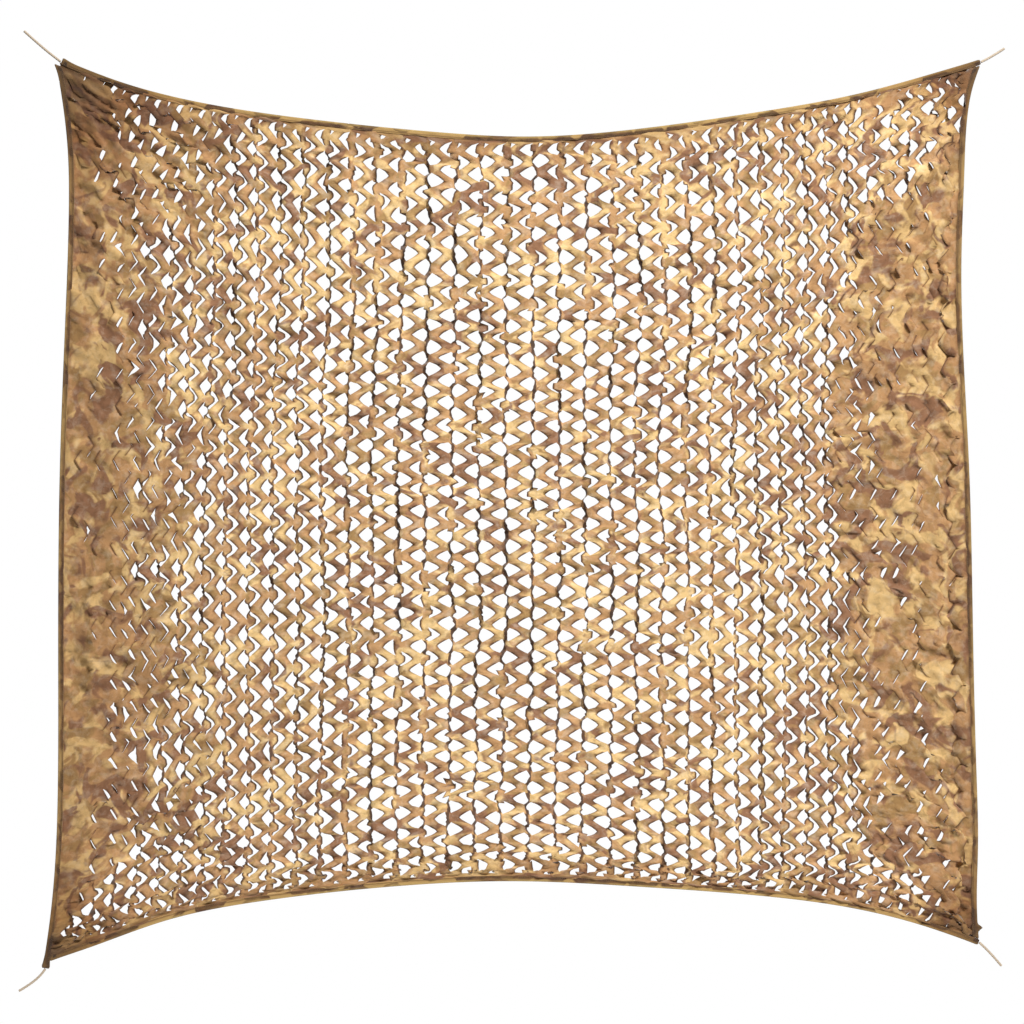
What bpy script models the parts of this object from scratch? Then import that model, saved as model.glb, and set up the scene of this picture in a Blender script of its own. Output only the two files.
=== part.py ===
"""Camouflage netting, hung upright and pulled tight by a cord at each corner.

One camo cloth, cut with rows of V slits that the pull opens into holes, has its four
edges folded into sewn bindings. A short cord comes out of a binding at each corner.
Metres, +Z up, front towards -Y. The origin is the middle of the top edge.
"""
import math

import bmesh
import bpy
import numpy as np

# ---- driving dimensions ----
CLOTH_THICKNESS = 0.002
BAND_WIDTH = 0.018            # a binding, from its fold to its free edges
BAND_HALF_THICKNESS = 0.0026
BAND_WALL = 0.0012
BAND_SHOULDER = 0.0015        # how far in the fold reaches its full thickness
BAND_PUCKER = 0.0005          # how much a binding's thickness varies along it
FOLD_DEPTH = 0.004            # from a binding's fold to the bottom of its slot
CLOTH_TUCK = 0.009            # from the fold to the edge of the cloth in the slot
CORNER_TRIM = 0.5             # how far the cloth's corners are cut back, out of the tucked hem
FLAT_HEM = 0.024              # the cloth lies flat this far in from the fold
PIECE_GAP = 0.001
CORD_DIAMETER = 0.008

# The net's four edges, along the outer fold of each binding: x and z of points on
# one smooth line. Top and bottom run left to right, the sides run top to bottom.
EDGE_ROWS = {
    "top": (
        (-1.500, 0.250), (-1.326, 0.182), (-0.999, 0.100), (-0.625, 0.048), (-0.249, 0.012),
        (0.000, 0.000), (0.390, 0.026), (0.783, 0.081), (1.110, 0.141), (1.333, 0.201),
        (1.500, 0.250)),
    "bottom": (
        (-1.533, -2.697), (-1.398, -2.651), (-1.166, -2.569), (-0.855, -2.505),
        (-0.445, -2.458), (-0.036, -2.438), (0.390, -2.456), (0.799, -2.487),
        (1.110, -2.531), (1.323, -2.586), (1.494, -2.646)),
    "left": (
        (-1.516, 0.216), (-1.499, 0.110), (-1.482, -0.050), (-1.479, -0.250), (-1.490, -0.580),
        (-1.508, -1.060), (-1.514, -1.700), (-1.515, -2.080), (-1.528, -2.420),
        (-1.546, -2.590), (-1.566, -2.722)),
    "right": (
        (1.504, 0.235), (1.478, 0.160), (1.460, 0.060), (1.450, -0.120), (1.440, -0.420),
        (1.445, -0.680), (1.466, -1.090), (1.480, -1.640), (1.492, -2.100),
        (1.496, -2.330), (1.492, -2.500), (1.498, -2.646)),
}
# The side of each edge on which the cloth lies: +1 is to the left of its direction.
CLOTH_SIDE = {"top": -1, "bottom": 1, "left": 1, "right": -1}
# Which binding each end butts against; None where it runs out past the corner.
END_BUTTS_ON = {
    "top": (None, None),
    "bottom": ("left", None),
    "left": ("top", None),
    "right": ("top", "bottom"),
}
BAND_STATIONS = {"top": 42, "bottom": 42, "left": 38, "right": 38}

# Each tie's route: x and z where it leaves its binding's end, part way, and at its bare end.
TIE_ROUTES = {
    "tie_top_left": ((-1.5052, 0.2424), (-1.5290, 0.2605), (-1.6244, 0.3422)),
    "tie_top_right": ((1.5048, 0.2420), (1.5270, 0.2535), (1.5818, 0.2866)),
    "tie_bottom_left": ((-1.5575, -2.7258), (-1.5680, -2.7400), (-1.6440, -2.7985)),
    "tie_bottom_right": ((1.4995, -2.6384), (1.5180, -2.6556), (1.5720, -2.7150)),
}
TIE_POINT_SPACING = 2.5 * CORD_DIAMETER

# The cut field: holes stand in columns, in pairs whose bases share one narrow chain.
FIELD_START = 0.255           # shares of the net's width
FIELD_END = 0.765
HOLE_PAIRS = 9
HOLE_ROWS = 17
SIDE_COLUMNS = 9              # uncut, gathered cloth on each side of the field
# One hole's outline: across its column from the ribbon (0) to the chain (1), and up
# its row from the middle (0) to the row's edge (1). The first point is the hole's tip.
HOLE_OUTLINE = ((0.14, 0.0), (0.74, 0.84), (0.91, 0.66), (0.91, -0.66), (0.74, -0.84))
# The outline's points in step with the cell round it: upper left, left, lower left,
# lower right, right, upper right, for a hole whose tip is on the left or on the right.
HOLE_ORDER = {"left": (1, 0, 4, 4, 3, 2), "right": (2, 3, 4, 4, 0, 1)}
HOLE_UNEVENNESS = 0.045

# Relief of the cloth, towards the front (-Y).
CHAIN_RIDGE = 0.012
CHAIN_SWAY = 0.10             # the chain's zigzag, as a share of a hole's column
GATHER_RIDGE = 0.012
CORNER_CREASE = 0.014
CORNER_CREASE_REACH = 0.36    # how far the creases run out of a corner
CORNER_CREASE_COUNT = 14      # creases in a full turn round the corner
HEM_STEPS = {"top": 1, "bottom": 1, "left": 3, "right": 3}   # edge points for one cell
RELIEF_RISE = 0.04            # share of the net over which relief grows in from the hem
BILLOW = 0.009                # the slow sway of the whole net
UNEVEN_SEED = 11

LINE_SAMPLES = 400
LINE_RUN_ON = 0.08            # edges run on past their ends, so that insets still cross


# ---- lines in the plane of the net ----
def natural_spline(knots, values, at):
    """Natural cubic spline through values at knots, read at the given places."""
    step = np.diff(knots)
    size = len(knots)
    matrix = np.eye(size)
    target = np.zeros_like(values)
    for i in range(1, size - 1):
        matrix[i, i - 1:i + 2] = step[i - 1], 2 * (step[i - 1] + step[i]), step[i]
        target[i] = 6 * ((values[i + 1] - values[i]) / step[i]
                         - (values[i] - values[i - 1]) / step[i - 1])
    bend = np.linalg.solve(matrix, target)
    k = np.clip(np.searchsorted(knots, at, side="right") - 1, 0, size - 2)
    width = step[k][:, None]
    after = (at - knots[k])[:, None]
    before = width - after
    return ((bend[k] * before ** 3 + bend[k + 1] * after ** 3) / (6 * width)
            + (values[k] / width - bend[k] * width / 6) * before
            + (values[k + 1] / width - bend[k + 1] * width / 6) * after)


def arc_lengths(line):
    return np.concatenate(([0.0], np.cumsum(np.linalg.norm(np.diff(line, axis=0), axis=1))))


def at_shares(line, shares):
    """Points of a line at shares of its length."""
    along = arc_lengths(line)
    where = np.asarray(shares) * along[-1]
    return np.stack([np.interp(where, along, line[:, k]) for k in range(line.shape[1])], axis=-1)


def smooth_line(rows, count=LINE_SAMPLES):
    """A smooth line through the rows, as points an equal distance apart."""
    rows = np.array(rows)
    knots = arc_lengths(rows)
    dense = natural_spline(knots, rows, np.linspace(0, knots[-1], 4 * count))
    return at_shares(dense, np.linspace(0, 1, count))


def directions(line):
    run = np.gradient(line, axis=0)
    return run / np.linalg.norm(run, axis=1)[:, None]


def inset(name, distance):
    """An edge's outer line moved into the net by a distance."""
    line = EDGE_LINES[name]
    run = directions(line)
    inward = np.stack([-run[:, 1], run[:, 0]], axis=1) * CLOTH_SIDE[name]
    return line + inward * distance


def run_on(line):
    """The line made longer at both ends."""
    run = directions(line)
    return np.vstack([line[0] - run[0] * LINE_RUN_ON, line, line[-1] + run[-1] * LINE_RUN_ON])


def crossing(line, other):
    """Where a line meets another one: its place as a length along the first."""
    line, other = run_on(line), run_on(other)
    step, other_step = np.diff(line, axis=0), np.diff(other, axis=0)
    apart = other[None, :-1] - line[:-1, None]
    cross = step[:, None, 0] * other_step[None, :, 1] - step[:, None, 1] * other_step[None, :, 0]
    along = (apart[..., 0] * other_step[None, :, 1] - apart[..., 1] * other_step[None, :, 0]) / cross
    along_other = (apart[..., 0] * step[:, None, 1] - apart[..., 1] * step[:, None, 0]) / cross
    hit = np.argwhere((along >= 0) & (along < 1) & (along_other >= 0) & (along_other < 1))[0]
    length = arc_lengths(line)
    return length[hit[0]] + along[tuple(hit)] * (length[hit[0] + 1] - length[hit[0]]) - LINE_RUN_ON


def stretch(line, start, end):
    """The part of a line between two lengths along it, as LINE_SAMPLES points."""
    longer = run_on(line)
    along = arc_lengths(longer) - LINE_RUN_ON
    where = np.linspace(start, end, LINE_SAMPLES)
    return np.stack([np.interp(where, along, longer[:, k]) for k in (0, 1)], axis=1)


def ring(distance):
    """The four edges moved in by a distance, each cut where it meets its neighbours."""
    lines = {name: inset(name, distance) for name in EDGE_LINES}
    neighbours = {"top": ("left", "right"), "bottom": ("left", "right"),
                  "left": ("top", "bottom"), "right": ("top", "bottom")}
    return {name: stretch(line, crossing(line, lines[neighbours[name][0]]),
                          crossing(line, lines[neighbours[name][1]]))
            for name, line in lines.items()}


def patch_point(edges, u, v):
    """A point of the sheet between four edges: u runs left to right, v top to bottom."""
    top, bottom = at_shares(edges["top"], [u])[0], at_shares(edges["bottom"], [u])[0]
    left, right = at_shares(edges["left"], [v])[0], at_shares(edges["right"], [v])[0]
    corners = ((1 - u) * (1 - v) * edges["top"][0] + u * (1 - v) * edges["top"][-1]
               + (1 - u) * v * edges["bottom"][0] + u * v * edges["bottom"][-1])
    return (1 - v) * top + v * bottom + (1 - u) * left + u * right - corners


def billow(x, z):
    """The slow sway of the net out of its plane, 0 at the origin."""
    def wave(a, b):
        return (math.sin(1.9 * a + 0.8) * math.cos(1.3 * b + 0.5)
                + 0.6 * math.sin(2.6 * b - 1.1 * a + 1.7))
    return BILLOW * (wave(x, z) - wave(0.0, 0.0))


EDGE_LINES = {name: smooth_line(rows) for name, rows in EDGE_ROWS.items()}
HEM_RING = ring(FLAT_HEM)
TUCK_RING = ring(CLOTH_TUCK)


# ---- pieces ----
def material(name, colour, roughness):
    made = bpy.data.materials.new(name)
    made.use_nodes = True
    shader = made.node_tree.nodes["Principled BSDF"]
    shader.inputs["Base Color"].default_value = (*colour, 1.0)
    shader.inputs["Roughness"].default_value = roughness
    shader.inputs["Metallic"].default_value = 0.0
    return made


def face_one_way(mesh):
    """All faces turned the same way, which is outwards on a closed body."""
    work = bmesh.new()
    work.from_mesh(mesh)
    bmesh.ops.recalc_face_normals(work, faces=work.faces)
    work.to_mesh(mesh)
    work.free()


def mesh_object(name, points, faces, finish):
    mesh = bpy.data.meshes.new(name)
    mesh.from_pydata([tuple(p) for p in points], [], faces)
    mesh.materials.append(finish)
    mesh.validate()
    made = bpy.data.objects.new(name, mesh)
    bpy.context.scene.collection.objects.link(made)
    return made


class Sheet:
    """The net cloth before it gets its thickness: its points and the faces on them."""

    columns = 2 * SIDE_COLUMNS + 2 * HOLE_PAIRS
    half_rows = 2 * HOLE_ROWS
    field = range(SIDE_COLUMNS, SIDE_COLUMNS + 2 * HOLE_PAIRS)

    def __init__(self):
        self.points, self.faces, self.places = [], [], {}
        self.corners = [HEM_RING["top"][0], HEM_RING["top"][-1],
                        HEM_RING["bottom"][0], HEM_RING["bottom"][-1]]
        uneven = np.random.default_rng(UNEVEN_SEED)
        self.ridge_share = uneven.uniform(0.5, 1.0, (self.columns + 1, self.half_rows + 1))
        self.hole_shift = uneven.uniform(-HOLE_UNEVENNESS, HOLE_UNEVENNESS,
                                         (self.columns, self.half_rows, len(HOLE_OUTLINE), 2))

    def keep(self, key, x, depth, z):
        """A point, made once for its key, that stands towards the front by its depth."""
        if key not in self.places:
            self.places[key] = len(self.points)
            self.points.append((x, billow(x, z) - depth, z))
        return self.places[key]

    def crease(self, x, z):
        """Folds that run out from each corner."""
        depth = 0.0
        for corner in self.corners:
            away = np.array((x, z)) - corner
            reach = np.linalg.norm(away) / CORNER_CREASE_REACH
            if 0.0 < reach < 1.0:
                turn = math.atan2(away[1], away[0])
                depth += math.sin(CORNER_CREASE_COUNT * turn) * 4 * reach * (1 - reach)
        return CORNER_CREASE * depth

    def in_patch(self, key, u, v, ridge):
        """A point of the cloth inside the hem."""
        x, z = patch_point(HEM_RING, u, v)
        rise = min(1.0, min(u, 1 - u, v, 1 - v) / RELIEF_RISE)
        return self.keep(key, x, (ridge + self.crease(x, z)) * rise, z)

    def tucked(self, edge, share):
        """A point on the cloth's own edge, inside a binding."""
        x, z = at_shares(TUCK_RING[edge], [share])[0]
        if share in (0.0, 1.0):
            hem_x, hem_z = at_shares(HEM_RING[edge], [share])[0]
            x += CORNER_TRIM * (hem_x - x)
            z += CORNER_TRIM * (hem_z - z)
        return self.keep(("tucked", round(x, 5), round(z, 5)), x, 0.0, z)

    def across(self, column):
        """How far across the net a line between two columns stands."""
        if column <= self.field.start:
            return FIELD_START * column / SIDE_COLUMNS
        if column <= self.field.stop:
            step = (column - self.field.start) / len(self.field)
            return FIELD_START + (FIELD_END - FIELD_START) * step
        return FIELD_END + (1 - FIELD_END) * (column - self.field.stop) / SIDE_COLUMNS

    def corner_of_cell(self, column, half_row):
        """A point where cells meet: on a chain, a wide ribbon, or the gathered sides."""
        u, v = self.across(column), half_row / self.half_rows
        ridge = self.ridge_share[column, half_row]
        if self.field.start <= column <= self.field.stop:
            on_chain = (column - self.field.start) % 2 == 1
            ridge *= CHAIN_RIDGE if on_chain else -CHAIN_RIDGE / 2
            if on_chain and 0 < half_row < self.half_rows:
                sway = CHAIN_SWAY if half_row % 2 else -CHAIN_SWAY
                u += sway * (FIELD_END - FIELD_START) / len(self.field)
        else:
            ridge *= GATHER_RIDGE if column % 2 else -GATHER_RIDGE
        return self.in_patch(("cell", column, half_row), u, v, ridge)

    def cut_cell(self, column, top_row):
        """The cloth round one hole, two half rows high."""
        rows = (top_row, top_row + 1, top_row + 2)
        outer = ([self.corner_of_cell(column, row) for row in rows]
                 + [self.corner_of_cell(column + 1, row) for row in reversed(rows)])
        tip_side = "left" if (column - self.field.start) % 2 == 0 else "right"
        left, right = self.across(column), self.across(column + 1)
        hole = []
        for k, (across, up) in enumerate(HOLE_OUTLINE):
            across_shift, up_shift = self.hole_shift[column, top_row, k]
            across += across_shift
            ridge = CHAIN_RIDGE * (1.4 * across - 0.5)
            u = left + (right - left) * (across if tip_side == "left" else 1 - across)
            v = (top_row + 1 - up - up_shift) / self.half_rows
            hole.append(self.in_patch(("hole", column, top_row, k), u, v, ridge))
        inner = [hole[k] for k in HOLE_ORDER[tip_side]]
        for k in range(len(outer)):
            after = (k + 1) % len(outer)
            face = (outer[k], outer[after], inner[after], inner[k])
            self.faces.append(face if inner[after] != inner[k] else face[:3])

    def cut_field(self):
        for column in self.field:
            first = (column - self.field.start) % 2
            for top_row in range(first, self.half_rows - 1, 2):
                self.cut_cell(column, top_row)
            for top_row in (0, self.half_rows - 1) if first else ():
                self.plain_face(column, top_row, 1)

    def plain_face(self, column, top_row, height):
        """Uncut cloth in one column, which meets every half row on the cut field's side."""
        left = list(range(top_row, top_row + height + 1))
        right = left[::-1]
        if column != self.field.stop:
            left = [left[0], left[-1]]
        if column + 1 != self.field.start:
            right = [right[0], right[-1]]
        self.faces.append(tuple([self.corner_of_cell(column, row) for row in left]
                                + [self.corner_of_cell(column + 1, row) for row in right]))

    def gathered_sides(self):
        for column in range(self.columns):
            if column not in self.field:
                for top_row in range(0, self.half_rows, 2):
                    self.plain_face(column, top_row, 2)

    def hem(self):
        """The flat strip all round, from the relief to the cloth's edge in the bindings."""
        columns = range(self.columns + 1)
        rows = range(0, self.half_rows + 1, 2)
        sides = {
            "top": [((c, 0), self.across(c)) for c in columns],
            "bottom": [((c, self.half_rows), self.across(c)) for c in columns],
            "left": [((0, r), r / self.half_rows) for r in rows],
            "right": [((self.columns, r), r / self.half_rows) for r in rows]}
        for edge, places in sides.items():
            inner = [self.corner_of_cell(*place) for place, _ in places]
            for k in range(len(places) - 1):
                shares = np.linspace(places[k + 1][1], places[k][1], HEM_STEPS[edge] + 1)
                outer = [self.tucked(edge, share) for share in shares]
                self.faces.append((inner[k], inner[k + 1], *outer))


def net_cloth(finish):
    """The cut cloth: one sheet with a solid thickness."""
    sheet = Sheet()
    sheet.cut_field()
    sheet.gathered_sides()
    sheet.hem()
    made = mesh_object("net_cloth", sheet.points, sheet.faces, finish)
    face_one_way(made.data)
    solidify = made.modifiers.new("thickness", "SOLIDIFY")
    solidify.thickness = CLOTH_THICKNESS
    solidify.offset = 0.0
    solidify.use_even_offset = False
    return made


def binding(edge, finish):
    """A strip folded over the cloth's edge: a channel whose slot holds the cloth."""
    ends = []
    for butt in END_BUTTS_ON[edge]:
        ends.append(inset(butt, BAND_WIDTH + PIECE_GAP) if butt else None)

    def rail(distance):
        line = inset(edge, distance)
        start = 0.0 if ends[0] is None else crossing(line, ends[0])
        end = arc_lengths(line)[-1] if ends[1] is None else crossing(line, ends[1])
        return at_shares(stretch(line, start, end), np.linspace(0, 1, BAND_STATIONS[edge]))

    fold, shoulder, slot, lip = (rail(d) for d in (0.0, BAND_SHOULDER, FOLD_DEPTH, BAND_WIDTH))
    inside = BAND_HALF_THICKNESS - BAND_WALL
    points = []
    for k in range(BAND_STATIONS[edge]):
        thick = BAND_HALF_THICKNESS + BAND_PUCKER * math.sin(2.3 * k) * math.sin(0.7 * k + 1)
        section = ((lip, -thick), (shoulder, -thick), (fold, -thick / 2), (fold, thick / 2),
                   (shoulder, thick), (lip, thick), (lip, inside), (slot, inside),
                   (slot, -inside), (lip, -inside))
        for line, depth in section:
            x, z = line[k]
            points.append((x, billow(x, z) + depth, z))
    size = len(section)
    faces = []
    for k in range(BAND_STATIONS[edge] - 1):
        for i in range(size):
            after = (i + 1) % size
            faces.append((k * size + i, k * size + after,
                          (k + 1) * size + after, (k + 1) * size + i))
    for first in (0, len(points) - size):
        for cap in ((0, 1, 8, 9), (1, 2, 3, 4, 7, 8), (4, 5, 6, 7)):
            faces.append(tuple(first + i for i in cap))
    made = mesh_object("binding_" + edge, points, faces, finish)
    face_one_way(made.data)
    return made


def tie(name, route, finish):
    """A straight cord with bare cut ends."""
    length = arc_lengths(np.array(route))[-1]
    path = smooth_line(route, round(length / TIE_POINT_SPACING) + 1)
    curve = bpy.data.curves.new(name, "CURVE")
    curve.dimensions = "3D"
    curve.bevel_depth = CORD_DIAMETER / 2
    curve.bevel_resolution = 2
    curve.use_fill_caps = True
    curve.materials.append(finish)
    spline = curve.splines.new("POLY")
    spline.points.add(len(path) - 1)
    depth = billow(*route[0])
    for point, (x, z) in zip(spline.points, path):
        point.co = (x, depth, z, 1.0)
    made = bpy.data.objects.new(name, curve)
    bpy.context.scene.collection.objects.link(made)
    return made


def main():
    for old in list(bpy.data.objects):
        bpy.data.objects.remove(old)
    net_cloth(material("camo_cloth", (0.42, 0.28, 0.13), 0.85))
    band_finish = material("camo_binding", (0.30, 0.21, 0.10), 0.85)
    for edge in EDGE_ROWS:
        binding(edge, band_finish)
    cord_finish = material("beige_cord", (0.56, 0.43, 0.28), 0.8)
    for name, route in TIE_ROUTES.items():
        tie(name, route, cord_finish)


main()
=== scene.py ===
import math

import bmesh
import bpy
import numpy as np
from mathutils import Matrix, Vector


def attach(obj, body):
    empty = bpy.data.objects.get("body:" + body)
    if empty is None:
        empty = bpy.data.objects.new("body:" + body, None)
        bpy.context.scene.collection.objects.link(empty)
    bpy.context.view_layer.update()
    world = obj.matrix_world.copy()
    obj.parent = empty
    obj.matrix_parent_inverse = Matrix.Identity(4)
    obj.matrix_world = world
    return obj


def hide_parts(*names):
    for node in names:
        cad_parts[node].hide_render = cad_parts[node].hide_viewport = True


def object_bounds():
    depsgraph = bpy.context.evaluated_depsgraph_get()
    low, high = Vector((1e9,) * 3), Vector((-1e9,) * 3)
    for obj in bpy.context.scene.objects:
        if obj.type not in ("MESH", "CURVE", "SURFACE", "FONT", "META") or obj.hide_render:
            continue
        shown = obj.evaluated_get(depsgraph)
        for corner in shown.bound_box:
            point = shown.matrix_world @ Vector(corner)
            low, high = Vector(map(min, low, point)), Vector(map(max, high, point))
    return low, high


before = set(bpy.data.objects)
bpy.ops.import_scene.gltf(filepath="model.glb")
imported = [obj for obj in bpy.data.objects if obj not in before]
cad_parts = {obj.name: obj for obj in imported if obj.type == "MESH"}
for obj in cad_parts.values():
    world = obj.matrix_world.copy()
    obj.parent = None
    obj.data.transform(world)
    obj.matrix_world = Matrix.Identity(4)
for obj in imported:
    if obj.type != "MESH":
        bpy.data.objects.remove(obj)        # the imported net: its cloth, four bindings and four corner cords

# Camouflage netting, hung upright and pulled tight by a cord at each corner.
# Metres, +Z up, front towards -Y. The origin is the middle of the top edge.

CAD_LOW, CAD_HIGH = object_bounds()

# ---- the edges, along the outer fold of each binding: x and z, on one smooth line ----
# Top and bottom run left to right, the sides run top to bottom.
EDGE_ROWS = {
    "top": (
        (-1.500, 0.250), (-1.326, 0.182), (-0.999, 0.100), (-0.625, 0.048), (-0.249, 0.012),
        (0.000, 0.000), (0.390, 0.026), (0.783, 0.081), (1.110, 0.141), (1.333, 0.201),
        (1.500, 0.250)),
    "bottom": (
        (-1.533, -2.697), (-1.398, -2.651), (-1.166, -2.569), (-0.855, -2.505),
        (-0.445, -2.458), (-0.036, -2.438), (0.390, -2.456), (0.799, -2.487),
        (1.110, -2.531), (1.323, -2.586), (1.494, -2.646)),
    "left": (
        (-1.516, 0.216), (-1.499, 0.110), (-1.482, -0.050), (-1.479, -0.250), (-1.490, -0.580),
        (-1.508, -1.060), (-1.514, -1.700), (-1.515, -2.080), (-1.528, -2.420),
        (-1.546, -2.590), (-1.566, -2.722)),
    "right": (
        (1.504, 0.235), (1.478, 0.160), (1.460, 0.060), (1.450, -0.120), (1.440, -0.420),
        (1.445, -0.680), (1.466, -1.090), (1.480, -1.640), (1.492, -2.100),
        (1.496, -2.330), (1.492, -2.500), (1.498, -2.646)),
}
# On which side of an edge's run the cloth lies: 1 for its left, -1 for its right
CLOTH_SIDE = {"top": -1, "bottom": 1, "left": 1, "right": -1}
# The binding that each end of an edge's binding butts against: at its start, at its end
END_BUTTS_ON = {
    "top": (None, None),
    "bottom": ("left", None),
    "left": ("top", None),
    "right": ("top", "bottom"),
}
LINE_SAMPLES = 400
LINE_RUN_ON = 0.08            # edges run on past their ends, so that insets still cross

# ---- the ties ----
TIE_ROUTES = {
    "tie_top_left": ((-1.5052, 0.2424), (-1.5290, 0.2605), (-1.6244, 0.3422)),
    "tie_top_right": ((1.5048, 0.2420), (1.5270, 0.2535), (1.5818, 0.2866)),
    "tie_bottom_left": ((-1.5575, -2.7258), (-1.5680, -2.7400), (-1.6440, -2.7985)),
    "tie_bottom_right": ((1.4995, -2.6384), (1.5180, -2.6556), (1.5720, -2.7150)),
}
CORD_DIAMETER = 0.008
CORD_STRANDS = 3
CORD_LAY = 0.030              # length of one full turn of a strand
CORD_STATION = 0.0012
CORD_SIDES = 18
CORD_VALLEY, CORD_LOBE = 0.87, 0.16   # share of the radius between its strands, and what they add
CORD_END = 0.86               # how much thinner its cut end is

# ---- the cut cloth ----
RIBBONS = 78                  # strips between the zigzag cuts, side by side
CUT_ROWS = 34
ROW_STEPS = 12                # mesh steps along a ribbon for one row
RIBBON_WIDTH = 0.0325
CUT_DEPTH = 0.0295            # how far a cut swings from side to side
ROW_PITCH = 0.0890            # one full zigzag along the flat cloth
SELVAGE = 0.004               # plain cloth outside the last cuts
STEPS = CUT_ROWS * ROW_STEPS
# The mesh steps of a bridge; the outer ones only where cuts are open
BRIDGE_STEPS = (-2, -1, 0, 1, 2)
PLAIN_CUTS = ((0.000, 0.85), (0.040, 0.70), (0.055, 0.0), (0.87, 0.0), (0.91, 0.30), (1.0, 0.50))
SHORT_CUTS = 0.4              # share of the closed cuts that stop early
SHORT_FROM = 5                # the mesh step past a bridge's middle where such a cut starts
BILLOW = 0.009                # the slow sway of the whole net
# Its waves: radians for each metre and where they start, across and down, and one on the slant
SWAY_ACROSS, SWAY_DOWN = (1.9, 0.8), (1.3, 0.5)
SWAY_SLANT = (-1.1, 2.6, 1.7)
SWAY_SLANT_SHARE = 0.6
HEM_TUCK = 0.012              # from a binding's fold to the cloth's edge inside it

# Width that one pair of ribbons takes when the net hangs, by share of the net's width.
PAIR_WIDTHS = (
    (0.000, 0.0618), (0.037, 0.0640), (0.049, 0.0704), (0.085, 0.0718), (0.160, 0.0742), (0.215, 0.0774),
    (0.300, 0.0817), (0.410, 0.0859), (0.500, 0.0884), (0.590, 0.0872), (0.700, 0.0818),
    (0.790, 0.0786), (0.840, 0.0740), (0.880, 0.0698), (0.908, 0.0640), (1.000, 0.0618))
# Corners where the cuts are pulled open, or hang closed below 0: share of width and of height,
# reach across and down, how far.
PULLED_CORNERS = (
    (0.0, 0.0, 0.22, 0.20, -3.0), (0.90, 0.0, 0.14, 0.18, 9.0), (1.0, 0.0, 0.10, 0.12, 9.0),
    (0.04, 0.96, 0.13, 0.12, 5.0), (0.95, 0.97, 0.10, 0.11, 4.0))
SIDE_TAKE_UP = np.array((5.0, 1.0))   # how near the sides their bow is taken up: across, upright
NET_WIDTH = 2.955             # the hung net's width, where the pair widths add up to it
WIDTH_SAMPLES = 4001
CHAIN_WIDTHS = (              # pair width, width of its narrow ribbon
    (0.0600, 0.0040), (0.0660, 0.0080), (0.0740, 0.0095), (0.0884, 0.0090))
ONE_SIDED = (                 # pair width, how far its narrow ribbon lies out to the right
    (0.0680, 0.0), (0.0705, 1.0), (0.0765, 1.0), (0.0800, 0.45), (0.0840, 0.10), (0.0860, 0.0))
LEANING_SWING = 0.38          # how much less a wide ribbon swings towards such a narrow one
POINTED = 0.32                # how much less blunt its neighbours' ends are
LEANING_WIDTH = 0.08          # how much narrower such a ribbon looks where it lies flat
TURNING_WIDTH = 0.0712        # pair width at which the narrow ribbons turn from flat to on edge
TURNING_SPREAD = 0.0022       # how much of the width that change takes
TONGUE_LEVELS = (             # pair width, how rare a flat tongue is
    (0.0745, 0.25), (0.0762, 0.05), (0.0790, 0.20), (0.0835, 0.42), (0.0884, 0.95))
TOP_TONGUES = (0.28, 0.70)    # share of the height over which they are more common, and how much more
TONGUE_MOST = 0.9             # how flat a tongue lies
# How long a row hangs, against the mean row, by share of the height: at the middle, at the sides.
ROW_LENGTHS = (
    (0.00, 1.12, 0.95), (0.12, 1.10, 1.08), (0.25, 0.99, 1.10), (0.50, 0.97, 1.10),
    (0.75, 0.96, 1.08), (0.86, 1.00, 0.95), (0.935, 0.99, 0.82), (0.955, 0.64, 0.64),
    (1.00, 0.50, 0.55))

# The settling of the cloth
# How far bridges stray from their even rows, in ever smaller groups
UNEVEN_WIDE, UNEVEN_SLOW, UNEVEN_QUICK = 0.0090, 0.0050, 0.0038
SETTLE_ROUNDS = 320
SHEAR_HOLD = 0.6
BEND_HOLD = 0.03
PLACE_HOLD = (0.08, 0.03)     # pull of each bridge to its place, at the start and at the end
DEPTH_HOLD = 0.02
STAND_HOLD = 0.03             # pull that keeps the narrow ribbons on edge
SPEED_KEPT = 0.92
SPEED_MOST = 0.004
OVER_RELAX = 1.3
RELIEF_MOST = 0.021           # how far the cloth stands from the net's plane
BOX_MARGIN = 0.0095           # how far it may stand out of the net's own depth
TWIST_BRIDGED, TWIST_FREE = 0.005, 0.014   # depth of a narrow ribbon's edges, where bridged and free
ON_EDGE_WIDTH = 0.0044        # what a narrow ribbon covers when it stands on edge
JAGGED = 0.0018               # how unevenly it runs
BLUNT = 0.32                  # share of a swing over which an open ribbon lies along its chain
SWING_OPEN = 0.0485           # how far the cuts of an open ribbon swing
KEPT_OPEN = 0.6               # how far an open ribbon keeps the shape it has taken
ON_EDGE_SHADE = 0.88          # how far the painted shade of the cut edges reaches over a chain standing on edge
SPREAD = 0.0014               # how far an open ribbon's free edges spread out
CURL = 0.0036                 # how far a wide ribbon's middle stands in front of its cut edges
FLICK = 0.0042                # how far the free edges flick in and out
# The closed sides' creases: spacing across, spacing down, depth
CRUSH = ((0.090, 0.250, 0.0060), (0.050, 0.060, 0.0036), (0.028, 0.030, 0.0026))
UNCUT_HEM = (2, 5)            # mesh steps at the top and at the bottom where the cloth isn't cut
HEM_FLAT = (1.0, 2.2)         # rows at the top and at the bottom over which the narrow ribbons lie flat
ROUNDED = 0.35                # how far the slanting sides of an open hole bulge
FOLD_BACK = 0.011             # how far the loose tips of the closed sides are folded back
GATHERS = (                   # corner x and z, reach, depth of its radial folds, how dark painted shade and grime make them
    (-1.490, 0.215, 0.36, 0.0060, 1.00), (1.480, 0.215, 0.24, 0.0030, 0.60),
    (-1.530, -2.680, 0.26, 0.0045, 0.60), (1.480, -2.620, 0.20, 0.0040, 0.60))
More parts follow.
